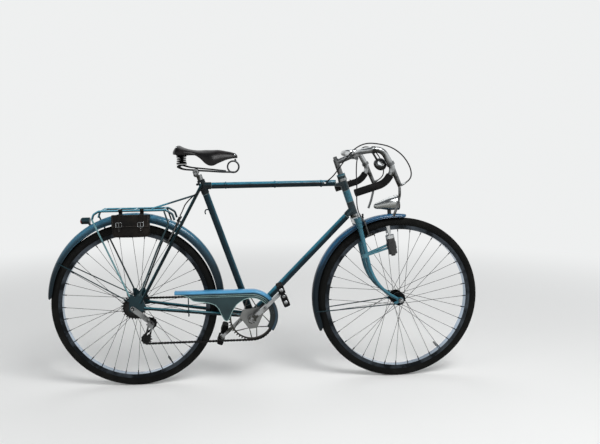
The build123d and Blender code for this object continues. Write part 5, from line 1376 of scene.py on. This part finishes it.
def pedalEndShape(size, side, joint):
    # domed rod ends at +-reach * (cos turn, sin turn) from the spindle, and its nut
    centre = np.array((joint[0], side * size["pedalY"], joint[2]))
    turn = radians(side * size["pedalTurn"])
    shape = Shape()
    for reach in (-size["pedalReach"], size["pedalReach"]):
        rod = centre + reach * np.array((cos(turn), 0, sin(turn)))
        shape.lathe(rod, (0, side, 0), domeProfile(0.0088, 0.0034), 20)
    return shape.lathe(centre, (0, side, 0), size["pedalNut"], 6)


for hand, side in (("right", -1), ("left", 1)):
    ends = pedalEndShape(fittings, side, joints[hand + "_pedal_spin"])
    addPiece(hand + "PedalEnds", ends, "polishedSteel", hand + "_pedal")
for end, axle, body in (("rear", rearAxle, "frame"), ("front", frontAxle, "steering")):
    nuts = nutShape(fittings, axle, fittings[end + "Reach"])
    addPiece(end + "Nuts", nuts, "polishedSteel", body)
    valve = valveShape(fittings, axle, fittings[end + "Valve"])
    addPiece(end + "Valve", valve, "darkChrome", end + "_wheel")
bolts = Shape()
for place, radius in fittings["bolts"]:
    bolts.lathe(place, (0, -1, 0), domeProfile(radius, radius * 0.7), 12)
quill = stacked(Shape(), fittings["quillTop"], fittings["quillAxis"], fittings["quill"])
peg = Shape().tube(splinePath(fittings["peg"], 24), fittings["pegRadius"])
addPiece("quillBolt", quill, "darkChrome", "steering")
addPiece("smallBolts", bolts, "polishedSteel", "frame")
addPiece("pumpPeg", peg, "darkEnamel", "frame")
print("fittings made")

# a pale floor that fades into an even background
room = {
    "groundZ": -1.0,
    "floorHalf": 40.0,
    "floorColour": (0.86, 0.86, 0.85),
    "pale": (0.86, 0.87, 0.87),
    "roof": (0.12, 0.13, 0.14),
    "roofHeights": (0.32, 0.6),   # sines of the heights at which the sky is pale and at which it is roof
    "fade": (1.2, 4.8),           # metres from the middle
}
lamps = {
    # place, aimed at, size in metres, watts, mirrored in metal
    "keyLamp": ((1.7, -2.3, 2.7), (0.2, 0, -0.5), 2.0, 130, True),
    "fillLamp": ((-2.4, -2.4, 1.8), (0.0, 0, -0.5), 1.6, 30, False),
    "backLamp": ((0.2, 2.6, 3.0), (0.2, 0, -0.4), 3.4, 42, True),
}


def addRoom(size):
    # a flat floor that turns into the pale background with its distance, for the camera and for mirrors
    half = size["floorHalf"]
    mesh = bpy.data.meshes.new("paleFloor")
    corners = [(-half, -half), (half, -half), (half, half), (-half, half)]
    mesh.from_pydata([(x, y, size["groundZ"]) for x, y in corners], [], [(0, 1, 2, 3)])
    floor = bpy.data.objects.new("paleFloor", mesh)
    bpy.context.collection.objects.link(floor)
    paint = Paint("paleFloor", Base_Color=size["floorColour"], Roughness=0.9)
    away = paint.vector("LENGTH", paint.place(), out=1)
    kinds = ("Camera", "Glossy", "Transmission")
    camera, mirror, glass = (paint.node("ShaderNodeLightPath", out=f"Is {kind} Ray") for kind in kinds)
    glow = paint.node("ShaderNodeEmission", {}, {"Color": size["pale"]})
    share = away.rise(*size["fade"]) * (camera + mirror + glass).clamp()
    lit = Wire(paint, paint.surface.outputs[0])
    faded = paint.node("ShaderNodeMixShader", {}, {0: share, 1: lit, 2: glow})
    paint.put(paint.tree.nodes["Material Output"].inputs["Surface"], faded)
    mesh.materials.append(paint.owner)


def addSky(size):
    # pale round the horizon, and a darker roof that only the light and the metal see
    paint = Paint("room", "worlds", "Background")
    height = paint.split(paint.node("ShaderNodeTexCoord", out="Generated"), 2)
    stops = tuple(zip(size["roofHeights"], (size["pale"], size["roof"])))
    sky = paint.node("ShaderNodeValToRGB", {"stops": stops}, {0: height})
    camera = paint.node("ShaderNodeLightPath", out="Is Camera Ray")
    bpy.context.scene.world = paint.set(Color=paint.mix(camera, sky, size["pale"]))


def addLamp(name, place, aim, size, watts, mirrored):
    # a square lamp at a place, turned to its aim
    light = bpy.data.lights.new(name, "AREA")
    light.energy = watts
    light.size = size
    lamp = bpy.data.objects.new(name, light)
    lamp.location = place
    lamp.visible_glossy = mirrored
    lamp.rotation_euler = (Vector(aim) - Vector(place)).to_track_quat("-Z", "Y").to_euler()
    bpy.context.collection.objects.link(lamp)


addRoom(room)
addSky(room)
for name, size in lamps.items():
    addLamp(name, *size)
bpy.context.scene.view_settings.view_transform = "Standard"
print("room lit")
